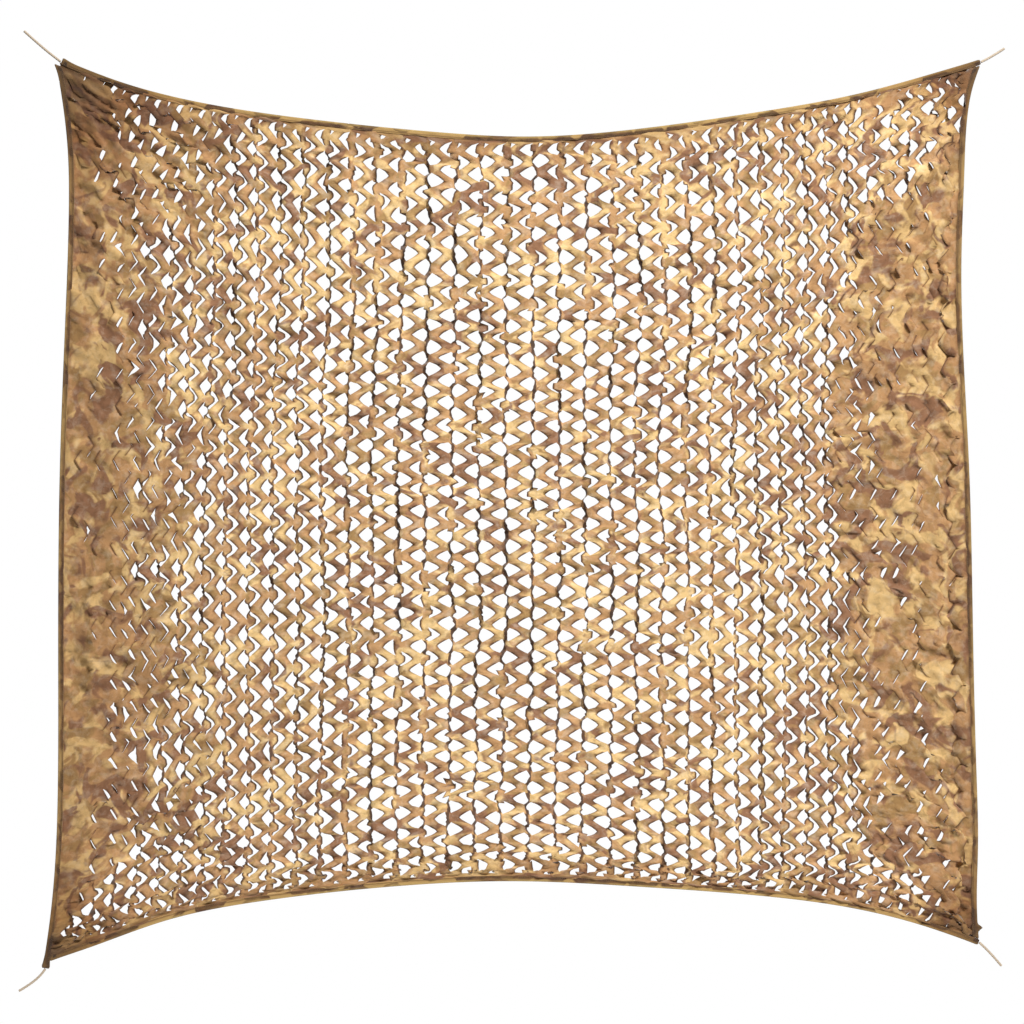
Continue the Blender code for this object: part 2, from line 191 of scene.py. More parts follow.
# How far painted shade and grime reach in from each edge, and how dark they are there
EDGE_SHADE_AND_GRIME = (
    ("top", 0.13, 0.30), ("left", 0.19, 0.26), ("bottom", 0.09, 0.26), ("right", 0.06, 0.16))
CORNER_SHADE_AND_GRIME = (0.16, 0.55)    # reach, share: painted shade and grime darker still at the very corners
# the most that painted shade and grime darken
MOST_SHADE_AND_GRIME = 1.6
GATHER_FOLDS = 34.0           # radial folds in a full turn round a corner
LOWER_EDGE_SHADE, UPPER_EDGE_SHADE = 1.0, 0.66   # how dark the painted shade of the cut edges is, below and above a slanting ribbon, as for light from above
CLOSED_EDGE = 0.80            # the same where the cuts stay closed, as a share
CLOTH_SEED = 5
OPENING = (0.5, 1.2, 0.8)     # how open a pair is: at the turning width, steeper by, chance's share
TONGUE_STEEP = 3.0            # how quickly a tongue comes and goes down a chain
SIDE_ROWS = (1.25, 1.5)       # how the row lengths pass from the middle to the sides: sooner, slower
SPOT_FADE = (30, 40)          # how near the sides, and the top and bottom, bridges keep to their rows
SWING_SHARE = 0.61            # the most of the room between two chains that a cut swings
TURN_SHARP, TURN_UNEVEN = 9.0, 0.15   # how sharply chains turn over, and how unevenly deep they are
TURN_LIMITS = (0.6, 1.3)
TURN_FADE = 60                # how near the top and bottom they lie flat
SEED_DEPTH = 0.0004           # random depth that lets the cloth start to fold
FREE_EDGE = (1.5, 0.5)        # how quickly an edge is free away from its bridges, and where that starts
LOOSE_TIPS = (3.0, 4.0)       # how sharply tips come loose, and how rare that is
GATHER_WANDER = 1.6           # how far the radial folds stray from straight lines
SHADE_UNEVEN = (0.12, 0.5)    # how unevenly dark the chains are, and the least of it
WIDE_KNOTS = (7, 6)           # how coarse the widest unevenness is, across and down
WANDER_KNOTS = (30, 40)       # the same for the radial folds
FIELD_END = 1.0001            # keeps the end of an uneven field inside its last knots
PULLS = 2                     # pulls on every thread in a round


def ease(share):
    """A share from 0 to 1, slow at both ends."""
    return share ** 2 * (3 - 2 * share)


# ---- lines in the plane of the net ----
def natural_spline(knots, values, at):
    """Natural cubic spline through values at knots, read at the given places."""
    step = np.diff(knots)
    size = len(knots)
    matrix = np.eye(size)
    target = np.zeros_like(values)
    for i in range(1, size - 1):
        matrix[i, i - 1:i + 2] = step[i - 1], 2 * (step[i - 1] + step[i]), step[i]
        target[i] = 6 * ((values[i + 1] - values[i]) / step[i]
                         - (values[i] - values[i - 1]) / step[i - 1])
    bend = np.linalg.solve(matrix, target)
    k = np.clip(np.searchsorted(knots, at, side="right") - 1, 0, size - 2)
    width = step[k][:, None]
    after = (at - knots[k])[:, None]
    before = width - after
    return ((bend[k] * before ** 3 + bend[k + 1] * after ** 3) / (6 * width)
            + (values[k] / width - bend[k] * width / 6) * before
            + (values[k + 1] / width - bend[k + 1] * width / 6) * after)


def arc_lengths(line):
    return np.concatenate(([0.0], np.cumsum(np.linalg.norm(np.diff(line, axis=0), axis=1))))


def at_shares(line, shares):
    """Points of a line at shares of its length."""
    along = arc_lengths(line)
    where = np.asarray(shares) * along[-1]
    return np.stack([np.interp(where, along, line[:, k]) for k in range(line.shape[1])], axis=-1)


def smooth_line(rows, count=LINE_SAMPLES):
    """A smooth line through the rows, as points an equal distance apart."""
    rows = np.array(rows)
    knots = arc_lengths(rows)
    dense = natural_spline(knots, rows, np.linspace(0, knots[-1], 4 * count))
    return at_shares(dense, np.linspace(0, 1, count))


def directions(line):
    run = np.gradient(line, axis=0)
    return run / np.linalg.norm(run, axis=1)[:, None]


def inset(name, distance):
    """An edge's outer line moved into the net by a distance."""
    line = EDGE_LINES[name]
    run = directions(line)
    inward = np.stack([-run[:, 1], run[:, 0]], axis=1) * CLOTH_SIDE[name]
    return line + inward * distance


def run_on(line):
    """The line made longer at both ends."""
    run = directions(line)
    return np.vstack([line[0] - run[0] * LINE_RUN_ON, line, line[-1] + run[-1] * LINE_RUN_ON])


def crossing(line, other):
    """Where a line meets another one: its place as a length along the first."""
    line, other = run_on(line), run_on(other)
    step, other_step = np.diff(line, axis=0), np.diff(other, axis=0)
    apart = other[None, :-1] - line[:-1, None]
    cross = step[:, None, 0] * other_step[None, :, 1] - step[:, None, 1] * other_step[None, :, 0]
    along = (apart[..., 0] * other_step[None, :, 1] - apart[..., 1] * other_step[None, :, 0]) / cross
    along_other = (apart[..., 0] * step[:, None, 1] - apart[..., 1] * step[:, None, 0]) / cross
    hit = np.argwhere((along >= 0) & (along < 1) & (along_other >= 0) & (along_other < 1))[0]
    length = arc_lengths(line)
    return length[hit[0]] + along[tuple(hit)] * (length[hit[0] + 1] - length[hit[0]]) - LINE_RUN_ON


def stretch(line, start, end):
    """The part of a line between two lengths along it, as LINE_SAMPLES points."""
    longer = run_on(line)
    along = arc_lengths(longer) - LINE_RUN_ON
    where = np.linspace(start, end, LINE_SAMPLES)
    return np.stack([np.interp(where, along, longer[:, k]) for k in (0, 1)], axis=1)


def ring(distance):
    """The four edges moved in by a distance, each cut where it meets its neighbours."""
    lines = {name: inset(name, distance) for name in EDGE_LINES}
    neighbours = {"top": ("left", "right"), "bottom": ("left", "right"),
                  "left": ("top", "bottom"), "right": ("top", "bottom")}
    return {name: stretch(line, crossing(line, lines[neighbours[name][0]]),
                          crossing(line, lines[neighbours[name][1]]))
            for name, line in lines.items()}


def across_line(line, shares):
    """Points of an edge at shares of the way across it."""
    x = line[0, 0] + shares * (line[-1, 0] - line[0, 0])
    return np.stack([x, np.interp(x, line[:, 0], line[:, 1])], axis=-1)


def patch(edges, u, v):
    """Points of the sheet between four edges: u runs left to right, v top to bottom.

    The way the sides bow is taken up near them, so that the lines further in stay upright.
    """
    top, bottom = across_line(edges["top"], u), across_line(edges["bottom"], u)
    left, right = at_shares(edges["left"], v), at_shares(edges["right"], v)
    u, v = u[..., None], v[..., None]
    left_bow = left - (1 - v) * edges["left"][0] - v * edges["left"][-1]
    right_bow = right - (1 - v) * edges["right"][0] - v * edges["right"][-1]
    return ((1 - v) * top + v * bottom
            + (1 - u) ** SIDE_TAKE_UP * left_bow + u ** SIDE_TAKE_UP * right_bow)


def billow(x, z):
    """The slow sway of the net out of its plane, 0 at the origin."""
    def wave(a, b):
        level = np.sin(SWAY_ACROSS[0] * a + SWAY_ACROSS[1]) * np.cos(SWAY_DOWN[0] * b + SWAY_DOWN[1])
        slant = np.sin(SWAY_SLANT[1] * b + SWAY_SLANT[0] * a + SWAY_SLANT[2])
        return level + SWAY_SLANT_SHARE * slant
    return BILLOW * (wave(x, z) - wave(0.0, 0.0))


EDGE_LINES = {name: smooth_line(rows) for name, rows in EDGE_ROWS.items()}


# ---- camera, floor and light ----
CAMERA_AIM = (-0.0295, 0.0, -1.230)
CAMERA_AWAY = 11.0
VIEW_WIDTH = 3.3536           # what the camera sees across, in the net's plane
SENSOR = 36.0
FLOOR_LEVEL = -3.25
FLOOR_SIZE = (6.4, 4.4)
FLOOR_PAINT = (0.82, 0.81, 0.79)
FLOOR_ROUGHNESS = 0.9
SEEN_WHITE, FILL_WHITE = 1.0, 0.12    # how bright the studio looks, and how much it lights the net
LAMPS_AIM = (0.0, 0.0, -1.2)
LAMPS = (                     # name, place, size, power
    ("key", (4.2, -7.2, 6.2), 2.2, 1500.0),
    ("front_fill", (-3.5, -6.0, 1.5), 3.0, 30.0),
    ("back_fill", (-4.2, 7.2, 5.2), 3.4, 650.0))


def stand_camera():
    lens = bpy.data.cameras.new("camera")
    lens.sensor_width = SENSOR
    lens.lens = SENSOR * CAMERA_AWAY / VIEW_WIDTH
    camera = bpy.data.objects.new("camera", lens)
    bpy.context.scene.collection.objects.link(camera)
    camera.location = (CAMERA_AIM[0], -CAMERA_AWAY, CAMERA_AIM[2])
    camera.rotation_euler = (math.pi / 2, 0, 0)
    bpy.context.scene.camera = camera


def plain_finish(name, colour, roughness):
    made = bpy.data.materials.new(name)
    made.use_nodes = True
    shader = made.node_tree.nodes["Principled BSDF"]
    shader.inputs["Base Color"].default_value = (*colour, 1.0)
    shader.inputs["Roughness"].default_value = roughness
    return made


def lay_floor():
    wide, deep = FLOOR_SIZE
    corners = [(x * wide / 2, y * deep / 2, FLOOR_LEVEL)
               for x, y in ((-1, -1), (1, -1), (1, 1), (-1, 1))]
    mesh = bpy.data.meshes.new("floor")
    mesh.from_pydata(corners, [], [(0, 1, 2, 3)])
    mesh.materials.append(plain_finish("floor_paint", FLOOR_PAINT, FLOOR_ROUGHNESS))
    floor = bpy.data.objects.new("floor", mesh)
    bpy.context.scene.collection.objects.link(floor)


def area_light(name, place, aim, size, power):
    lamp = bpy.data.lights.new(name, "AREA")
    lamp.shape = "SQUARE"
    lamp.size = size
    lamp.energy = power
    made = bpy.data.objects.new(name, lamp)
    bpy.context.scene.collection.objects.link(made)
    made.location = place
    toward = np.array(aim) - np.array(place)
    made.rotation_euler = Vector(toward).to_track_quat("-Z", "Y").to_euler()


def light_studio():
    world = bpy.data.worlds.new("studio")
    bpy.context.scene.world = world
    world.use_nodes = True
    nodes, links = world.node_tree.nodes, world.node_tree.links
    nodes.clear()
    seen = nodes.new("ShaderNodeBackground")
    seen.inputs["Strength"].default_value = SEEN_WHITE
    fill = nodes.new("ShaderNodeBackground")
    fill.inputs["Strength"].default_value = FILL_WHITE
    for node in (seen, fill):
        node.inputs["Color"].default_value = (1.0, 1.0, 1.0, 1.0)
    path = nodes.new("ShaderNodeLightPath")
    mix = nodes.new("ShaderNodeMixShader")
    out = nodes.new("ShaderNodeOutputWorld")
    links.new(path.outputs["Is Camera Ray"], mix.inputs[0])
    links.new(fill.outputs[0], mix.inputs[1])
    links.new(seen.outputs[0], mix.inputs[2])
    links.new(mix.outputs[0], out.inputs["Surface"])
    for name, place, size, power in LAMPS:
        area_light(name, place, LAMPS_AIM, size, power)
    bpy.context.scene.view_settings.view_transform = "Standard"


# ---- finishes ----
class Finish:
    """A node material with a Principled shader, built up step by step."""

    def __init__(self, name, roughness, sheen=0.0):
        self.made = bpy.data.materials.new(name)
        self.made.use_nodes = True
        self.nodes, self.links = self.made.node_tree.nodes, self.made.node_tree.links
        self.shader = self.nodes["Principled BSDF"]
        self.shader.inputs["Roughness"].default_value = roughness
        self.shader.inputs["Sheen Weight"].default_value = sheen
        self.shader.inputs["Sheen Roughness"].default_value = SHEEN_ROUGHNESS

    def node(self, kind, settings=(), values=()):
        """A node with its settings and the values of its own sockets."""
        made = self.nodes.new(kind)
        for name, value in dict(settings).items():
            setattr(made, name, value)
        for socket, value in dict(values).items():
            made.inputs[socket].default_value = value
        return made

    def link(self, output, socket):
        self.links.new(output, socket)
        return socket

    def uv_metres(self, size):
        """The piece's own UV map, spread back to metres of flat cloth."""
        uv = self.node("ShaderNodeUVMap", {"uv_map": "flat_cloth"})
        spread = self.node("ShaderNodeMapping", values={"Scale": (size[0], size[1], 1.0)})
        self.link(uv.outputs["UV"], spread.inputs["Vector"])
        return spread.outputs["Vector"]

    def noise(self, place, scale, detail=2.0, roughness=0.5, distortion=0.0, offset=0.0):
        shift = self.node("ShaderNodeMapping",
                          values={"Location": [offset * part for part in NOISE_START]})
        self.link(place, shift.inputs["Vector"])
        made = self.node("ShaderNodeTexNoise", {"noise_dimensions": "3D"},
                         {"Scale": scale, "Detail": detail, "Roughness": roughness,
                          "Distortion": distortion})
        self.link(shift.outputs["Vector"], made.inputs["Vector"])
        return made.outputs["Fac"]

    def ramp(self, value, low, high):
        """0 below low, 1 above high."""
        made = self.node("ShaderNodeMapRange", {"clamp": True}, {"From Min": low, "From Max": high})
        self.link(value, made.inputs["Value"])
        return made.outputs["Result"]

    def patches(self, place, pattern):
        """Soft-edged patches of a noise."""
        noise, band = pattern
        return self.ramp(self.noise(place, *noise), *band)

    def math(self, operation, first, second):
        made = self.node("ShaderNodeMath", {"operation": operation})
        for k, value in enumerate((first, second)):
            if isinstance(value, (int, float)):
                made.inputs[k].default_value = value
            else:
                self.link(value, made.inputs[k])
        return made.outputs[0]

    def mix(self, share, first, second, blend="MIX"):
        """Colours mixed by a share; a colour is an output or a plain triple."""
        made = self.node("ShaderNodeMix", {"data_type": "RGBA", "blend_type": blend})
        colours = [s for s in made.inputs if s.type == "RGBA"]
        factor = [s for s in made.inputs if s.name == "Factor" and s.type == "VALUE"][0]
        if isinstance(share, (int, float)):
            factor.default_value = share
        else:
            self.link(share, factor)
        for socket, value in zip(colours, (first, second)):
            if isinstance(value, tuple):
                socket.default_value = (*value, 1.0)
            else:
                self.link(value, socket)
        return [s for s in made.outputs if s.type == "RGBA"][0]

    def colour(self, output):
        self.link(output, self.shader.inputs["Base Color"])

    def bump(self, height, distance, strength=1.0):
        made = self.node("ShaderNodeBump", values={"Distance": distance, "Strength": strength})
        self.link(height, made.inputs["Height"])
        self.link(made.outputs["Normal"], self.shader.inputs["Normal"])


def linear(red, green, blue):
    """A screen colour, 0 to 255, as the linear values that a shader takes."""
    def one(value):
        value /= 255.0
        return value / 12.92 if value <= 0.04045 else ((value + 0.055) / 1.055) ** 2.4
    return one(red), one(green), one(blue)


CAMO = {
    "tan": linear(188, 141, 91),
    "straw": linear(220, 181, 119),
    "mauve": linear(144, 100, 67),
    "ochre": linear(167, 128, 76),
}
# Dark brown of the cut edges: partly the sealed edge itself, partly painted shade where the cloth curls away
# and on chains standing on edge
CUT_EDGE_SHADE = linear(88, 58, 35)
BAND_DRAB = (0.44, 0.40, 0.31)    # the binding's cloth is the darker, greener part of the roll
BAND_GOLD = linear(210, 172, 106)
BAND_RUBBED = linear(206, 176, 108)
CURL_SHADE_TINT = (0.41, 0.30, 0.20)    # painted shade: what the cloth keeps of its colour where it curls away from the light
EDGE_CURLS, EDGE_DARKENS = (0.36, 0.84), (0.62, 0.82)   # the painted edge shade over which it does so, and over which the dark cut-edge colour takes over
DULL_TINT = (0.72, 0.68, 0.62)    # what the print keeps where it is dull
WORN_WHITE = (1.0, 0.93, 0.74)    # what shows through where it is worn, and how much
WORN_SHARE = 0.16
PULLED_PALER = (1.26, 1.32, 1.42)   # how much paler the cloth looks where the light comes through it
SHADE_GRIME_TINT, DEEP_SHADE_GRIME_TINT = (0.52, 0.41, 0.30), (0.62, 0.64, 0.70)   # tints for painted shade and grime, and for the deepest of them at the corners
# painted shade: what the binding keeps of its colour in the groove along its seam
GROOVE_SHADE_TINT = (0.58, 0.53, 0.48)
CLOTH_ROUGHNESS, CLOTH_SHEEN = 0.82, 0.25
CORD_ROUGHNESS, CORD_SHEEN = 0.80, 0.30
THREAD_ROUGHNESS, THREAD_SHEEN = 0.60, 0.15
SHEEN_ROUGHNESS = 0.5
NOISE_START = (1.0, 1.7, 0.6)     # direction in which the noises of a finish are moved apart
WEAVE_PITCH, WEAVE_DEPTH, WEAVE_STRENGTH = 0.0011, 0.00012, 0.6
WAVE_UNIT = 2 * math.pi / 20.0    # scale of a Wave Texture that gives one band to each unit
# Noises: how many to a metre, detail, roughness, distortion, where it starts; then the values
# at which a patch of it starts and is full
WORN = ((34.0, 4.0, 0.65, 0.4, 5.3), (0.48, 0.70))
DULL = ((42.0, 4.0, 0.65, 0.4, 17.3), (0.46, 0.68))
GOLDEN = ((11.0, 2.0, 0.5, 0.6, 31.0), (0.50, 0.53))
RUBBED = ((9.0, 2.0, 0.5, 0.2, 8.1), (0.40, 0.54))
CORD_STAIN = ((60.0, 3.0, 0.6, 0.3, 4.0), (0.3, 0.7))
THREAD_TWIST = ((2500.0, 1.0, 0.5, 0.0, 2.0), (0.3, 0.7))
FIBRE_NOISE, FIBRE_BAND = (900.0, 2.0, 0.6, 0.0, 1.0), (0.35, 0.65)
FIBRE_DEPTH, FIBRE_STRENGTH = 0.0003, 0.7
BLOTCH_NOISE = (2.5, 0.55, 0.9)   # detail, roughness, distortion
PRINT_EDGE = 0.032                # softness of a blotch's edge
PRINT_BLOTCHES = (                # colour, how many to a metre, where its noise starts, how rare it is
    ("ochre", 11.5, 3.1, 0.54), ("straw", 9.5, 11.7, 0.535), ("mauve", 10.2, 23.9, 0.565))
BAND_PRINT_STRETCH = (1.0, 2.4, 1.0)
# Parts of a binding's section, as shares of the way round it: start and full, full and end
RUBBED_FOLD = ((0.05, 0.10), (0.24, 0.17))
# painted shade in the groove along the seam
SEAM_GROOVE_SHADE = ((0.27, 0.32), (0.41, 0.36))
LEVEL_BAND, UPRIGHT_BAND = (3.1, 0.04), (3.0, 0.04)   # flat length and width of the strips
LEVEL_GOLD, UPRIGHT_GOLD = 0.80, 0.30     # how golden the pale patches of a strip are
LEVEL_RUB, UPRIGHT_RUB = 0.70, 0.35       # how rubbed its fold is
CORD_PALE, CORD_STAINED = linear(214, 198, 176), linear(196, 178, 156)
CORD_FIBRE = linear(186, 166, 142)
THREAD_DARK, THREAD_LIGHT = linear(120, 92, 60), linear(158, 126, 86)


def printed(finish, place):
    """The four-colour camo print, as soft-edged blotches over a tan ground."""
    ground = CAMO["tan"]
    for name, scale, offset, level in PRINT_BLOTCHES:
        field = finish.noise(place, scale, *BLOTCH_NOISE, offset)
        inside = finish.ramp(field, level - PRINT_EDGE, level + PRINT_EDGE)
        ground = finish.mix(inside, ground, CAMO[name])
    worn, dull = finish.patches(place, WORN), finish.patches(place, DULL)
    ground = finish.mix(dull, ground, finish.mix(1.0, ground, DULL_TINT, "MULTIPLY"))
    return finish.mix(worn, ground, finish.mix(WORN_SHARE, ground, WORN_WHITE))


def weave(finish, place):
    """Height of a plain weave: two crossing sets of threads."""
    height = None
    for direction in ("X", "Y"):
        threads = finish.node("ShaderNodeTexWave",
                              {"wave_type": "BANDS", "bands_direction": direction,
                               "wave_profile": "SIN"},
                              {"Scale": WAVE_UNIT / WEAVE_PITCH, "Distortion": 0.0, "Detail": 0.0})
        finish.link(place, threads.inputs["Vector"])
        out = threads.outputs["Fac"]
        height = out if height is None else finish.math("MAXIMUM", height, out)
    return height


def shade_and_grime_finish(finish, colour):
    """The colour darkened by painted shade and grime, most near the corners and edges."""
    dark = finish.node("ShaderNodeAttribute", {"attribute_name": "shade_and_grime"})
    shade_grime_tinted = finish.mix(1.0, colour, SHADE_GRIME_TINT, "MULTIPLY")
    shade_grime_colour = finish.mix(finish.ramp(dark.outputs["Fac"], 0.0, 1.0), colour, shade_grime_tinted)
    deep_shade_grime_tinted = finish.mix(1.0, shade_grime_colour, DEEP_SHADE_GRIME_TINT, "MULTIPLY")
    return finish.mix(finish.ramp(dark.outputs["Fac"], 1.0, MOST_SHADE_AND_GRIME), shade_grime_colour, deep_shade_grime_tinted)


def camo_cloth(flat):
    finish = Finish("camo_cloth", CLOTH_ROUGHNESS, CLOTH_SHEEN)
    place = finish.uv_metres(flat)
    print_colour = printed(finish, place)
    # Painted light: the cloth is made paler where it is pulled open, as if lit through from behind
    pulled = finish.node("ShaderNodeAttribute", {"attribute_name": "pulled_open"})
    pale = finish.mix(1.0, print_colour, PULLED_PALER, "MULTIPLY")
    print_colour = finish.mix(finish.ramp(pulled.outputs["Fac"], 0.0, 1.0), print_colour, pale)
    # Painted shade and grime darken the cloth near its corners and edges
    print_colour = shade_and_grime_finish(finish, print_colour)
    # Painted shade along the cut edges: the print tinted where the ribbons curl away from the light, then
    # dark brown at the edges themselves
    edge = finish.node("ShaderNodeAttribute", {"attribute_name": "cut_edge_shade"})
    turned = finish.ramp(edge.outputs["Fac"], *EDGE_CURLS)
    shaded = finish.mix(turned, print_colour, finish.mix(1.0, print_colour, CURL_SHADE_TINT, "MULTIPLY"))
    dark = finish.ramp(edge.outputs["Fac"], *EDGE_DARKENS)
    finish.colour(finish.mix(dark, shaded, CUT_EDGE_SHADE))
    finish.bump(weave(finish, place), WEAVE_DEPTH, WEAVE_STRENGTH)
    return finish.made


def camo_binding(name, flat, gold, rub):
    """The folded strip's finish: how golden its pale patches are, and how rubbed its fold is."""
    finish = Finish(name, CLOTH_ROUGHNESS, CLOTH_SHEEN)
    place = finish.uv_metres(flat)
    run = finish.node("ShaderNodeMapping", values={"Scale": BAND_PRINT_STRETCH})
    finish.link(place, run.inputs["Vector"])
    base = finish.mix(1.0, printed(finish, run.outputs["Vector"]), BAND_DRAB, "MULTIPLY")
    golden = finish.patches(run.outputs["Vector"], GOLDEN)
    base = finish.mix(finish.math("MULTIPLY", golden, gold), base, BAND_GOLD)
    round_the_fold = finish.node("ShaderNodeSeparateXYZ")
    finish.link(finish.node("ShaderNodeUVMap", {"uv_map": "flat_cloth"}).outputs["UV"],
                round_the_fold.inputs[0])
    height = round_the_fold.outputs["Y"]
    rubbed, groove_shade = (finish.math("MULTIPLY", finish.ramp(height, *start), finish.ramp(height, *end))
                      for start, end in (RUBBED_FOLD, SEAM_GROOVE_SHADE))
    patchy = finish.patches(place, RUBBED)
    rubbed = finish.math("MULTIPLY", finish.math("MULTIPLY", rubbed, patchy), rub)
    base = finish.mix(rubbed, base, BAND_RUBBED)
    # Painted shade darkens the groove along the seam
    base = finish.mix(groove_shade, base, finish.mix(1.0, base, GROOVE_SHADE_TINT, "MULTIPLY"))
    finish.colour(shade_and_grime_finish(finish, base))
    finish.bump(weave(finish, place), WEAVE_DEPTH, WEAVE_STRENGTH)
    return finish.made


def beige_cord():
    finish = Finish("beige_cord", CORD_ROUGHNESS, CORD_SHEEN)
    where = finish.node("ShaderNodeTexCoord").outputs["Object"]
    fibre = finish.noise(where, *FIBRE_NOISE)
    base = finish.mix(finish.patches(where, CORD_STAIN), CORD_STAINED, CORD_PALE)
    finish.colour(finish.mix(finish.ramp(fibre, *FIBRE_BAND), base, CORD_FIBRE))
    finish.bump(fibre, FIBRE_DEPTH, FIBRE_STRENGTH)
    return finish.made


def sewing_thread():
    finish = Finish("sewing_thread", THREAD_ROUGHNESS, THREAD_SHEEN)
    where = finish.node("ShaderNodeTexCoord").outputs["Object"]
    finish.colour(finish.mix(finish.patches(where, THREAD_TWIST), THREAD_DARK, THREAD_LIGHT))
    return finish.made


# ---- meshes ----
def mesh_piece(name, points, faces, finish, uv=None, smooth=True):
    """A piece from points and quads, with its place in its mesh and an optional UV map."""
    mesh = bpy.data.meshes.new(name)
    points = np.asarray(points, dtype=np.float32)
    faces = np.asarray(faces, dtype=np.int32)
    mesh.vertices.add(len(points))
    mesh.vertices.foreach_set("co", points.ravel())
    mesh.loops.add(faces.size)
    mesh.loops.foreach_set("vertex_index", faces.ravel())
    mesh.polygons.add(len(faces))
    mesh.polygons.foreach_set("loop_start", np.arange(len(faces), dtype=np.int32) * faces.shape[1])
    if uv is not None:
        layer = mesh.uv_layers.new(name="flat_cloth")
        layer.data.foreach_set("uv", np.asarray(uv, dtype=np.float32).ravel())
    mesh.update(calc_edges=True)
    mesh.validate()
    if smooth:
        mesh.shade_smooth()
    mesh.materials.append(finish)
    made = bpy.data.objects.new(name, mesh)
    bpy.context.scene.collection.objects.link(made)
    return made


# ---- the ties ----
def twisted_cord(name, route, finish):
    """A laid cord of three strands, with its bare end cut square."""
    length = arc_lengths(np.array(route))[-1]
    count = round(length / CORD_STATION) + 1
    line = smooth_line(route, count)
    along = arc_lengths(line)
    run = directions(line)
    depth = billow(*route[0])
    turn = np.linspace(0, 2 * math.pi, CORD_SIDES, endpoint=False)
    points = []
    for k in range(count):
        side = np.array((run[k, 1], 0.0, -run[k, 0]))
        centre = np.array((line[k, 0], depth, line[k, 1]))
        lobe = np.abs(np.cos(CORD_STRANDS / 2 * (turn - 2 * math.pi * along[k] / CORD_LAY)))
        radius = CORD_DIAMETER / 2 * (CORD_VALLEY + CORD_LOBE * lobe)
        if k in (0, count - 1):
            radius = radius * CORD_END
        points += [centre + r * (math.cos(a) * side + math.sin(a) * np.array((0.0, 1.0, 0.0)))
                   for r, a in zip(radius, turn)]
    faces = []
    for k in range(count - 1):
        for i in range(CORD_SIDES):
            after = (i + 1) % CORD_SIDES
            faces.append((k * CORD_SIDES + i, k * CORD_SIDES + after,
                          (k + 1) * CORD_SIDES + after, (k + 1) * CORD_SIDES + i))
    for end, order in ((0, 1), (count - 1, -1)):
        middle = len(points)
        points.append(np.array((line[end, 0], depth, line[end, 1])))
        for i in range(0, CORD_SIDES, 2):
            loop = [end * CORD_SIDES + j % CORD_SIDES for j in (i, i + 1, i + 2)]
            faces.append((middle, *(loop[::-1] if order > 0 else loop)))
    made = mesh_piece(name + "_cord", points, faces, finish)
    face_outward(made)
    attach(made, "root")
    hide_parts(name)


def face_outward(piece):
    """Turns a closed piece's faces outwards."""
    work = bmesh.new()
    work.from_mesh(piece.data)
    bmesh.ops.recalc_face_normals(work, faces=work.faces)
    work.to_mesh(piece.data)
    work.free()


# ---- the cut cloth ----
def uneven(rng, shape, knots):
    """A field of soft random bumps, from a coarse grid of knots."""
    grid = rng.standard_normal(knots)
    rows = np.linspace(0, knots[0] - FIELD_END, shape[0])
    columns = np.linspace(0, knots[1] - FIELD_END, shape[1])
    i, j = rows.astype(int), columns.astype(int)
    down = (rows - i)[:, None]
    over = (columns - j)[None, :]
    down, over = ease(down), ease(over)
    return ((grid[i][:, j] * (1 - down) + grid[i + 1][:, j] * down) * (1 - over)
            + (grid[i][:, j + 1] * (1 - down) + grid[i + 1][:, j + 1] * down) * over)


def shade_and_grime(x, z):
    """How far painted shade and grime darken the cloth near its corners and its edges."""
    dark = np.zeros_like(x)
    for corner_x, corner_z, reach, _, shade in GATHERS:
        away = (x - corner_x) ** 2 + (z - corner_z) ** 2
        dark += shade * np.exp(-away / reach ** 2) + CORNER_SHADE_AND_GRIME[1] * np.exp(-away / CORNER_SHADE_AND_GRIME[0] ** 2)
    for edge, reach, shade in EDGE_SHADE_AND_GRIME:
        dark += shade * np.exp(-(edge_distance(edge, x, z) / reach) ** 2)
    return np.clip(dark, 0, MOST_SHADE_AND_GRIME)


def edge_distance(edge, x, z):
    """How far a place lies inside an edge, measured level or upright."""
    line = EDGE_LINES[edge]
    if edge in ("top", "bottom"):
        return CLOTH_SIDE[edge] * (z - np.interp(x, line[:, 0], line[:, 1]))
    return CLOTH_SIDE[edge] * (x - np.interp(-z, -line[:, 1], line[:, 0]))


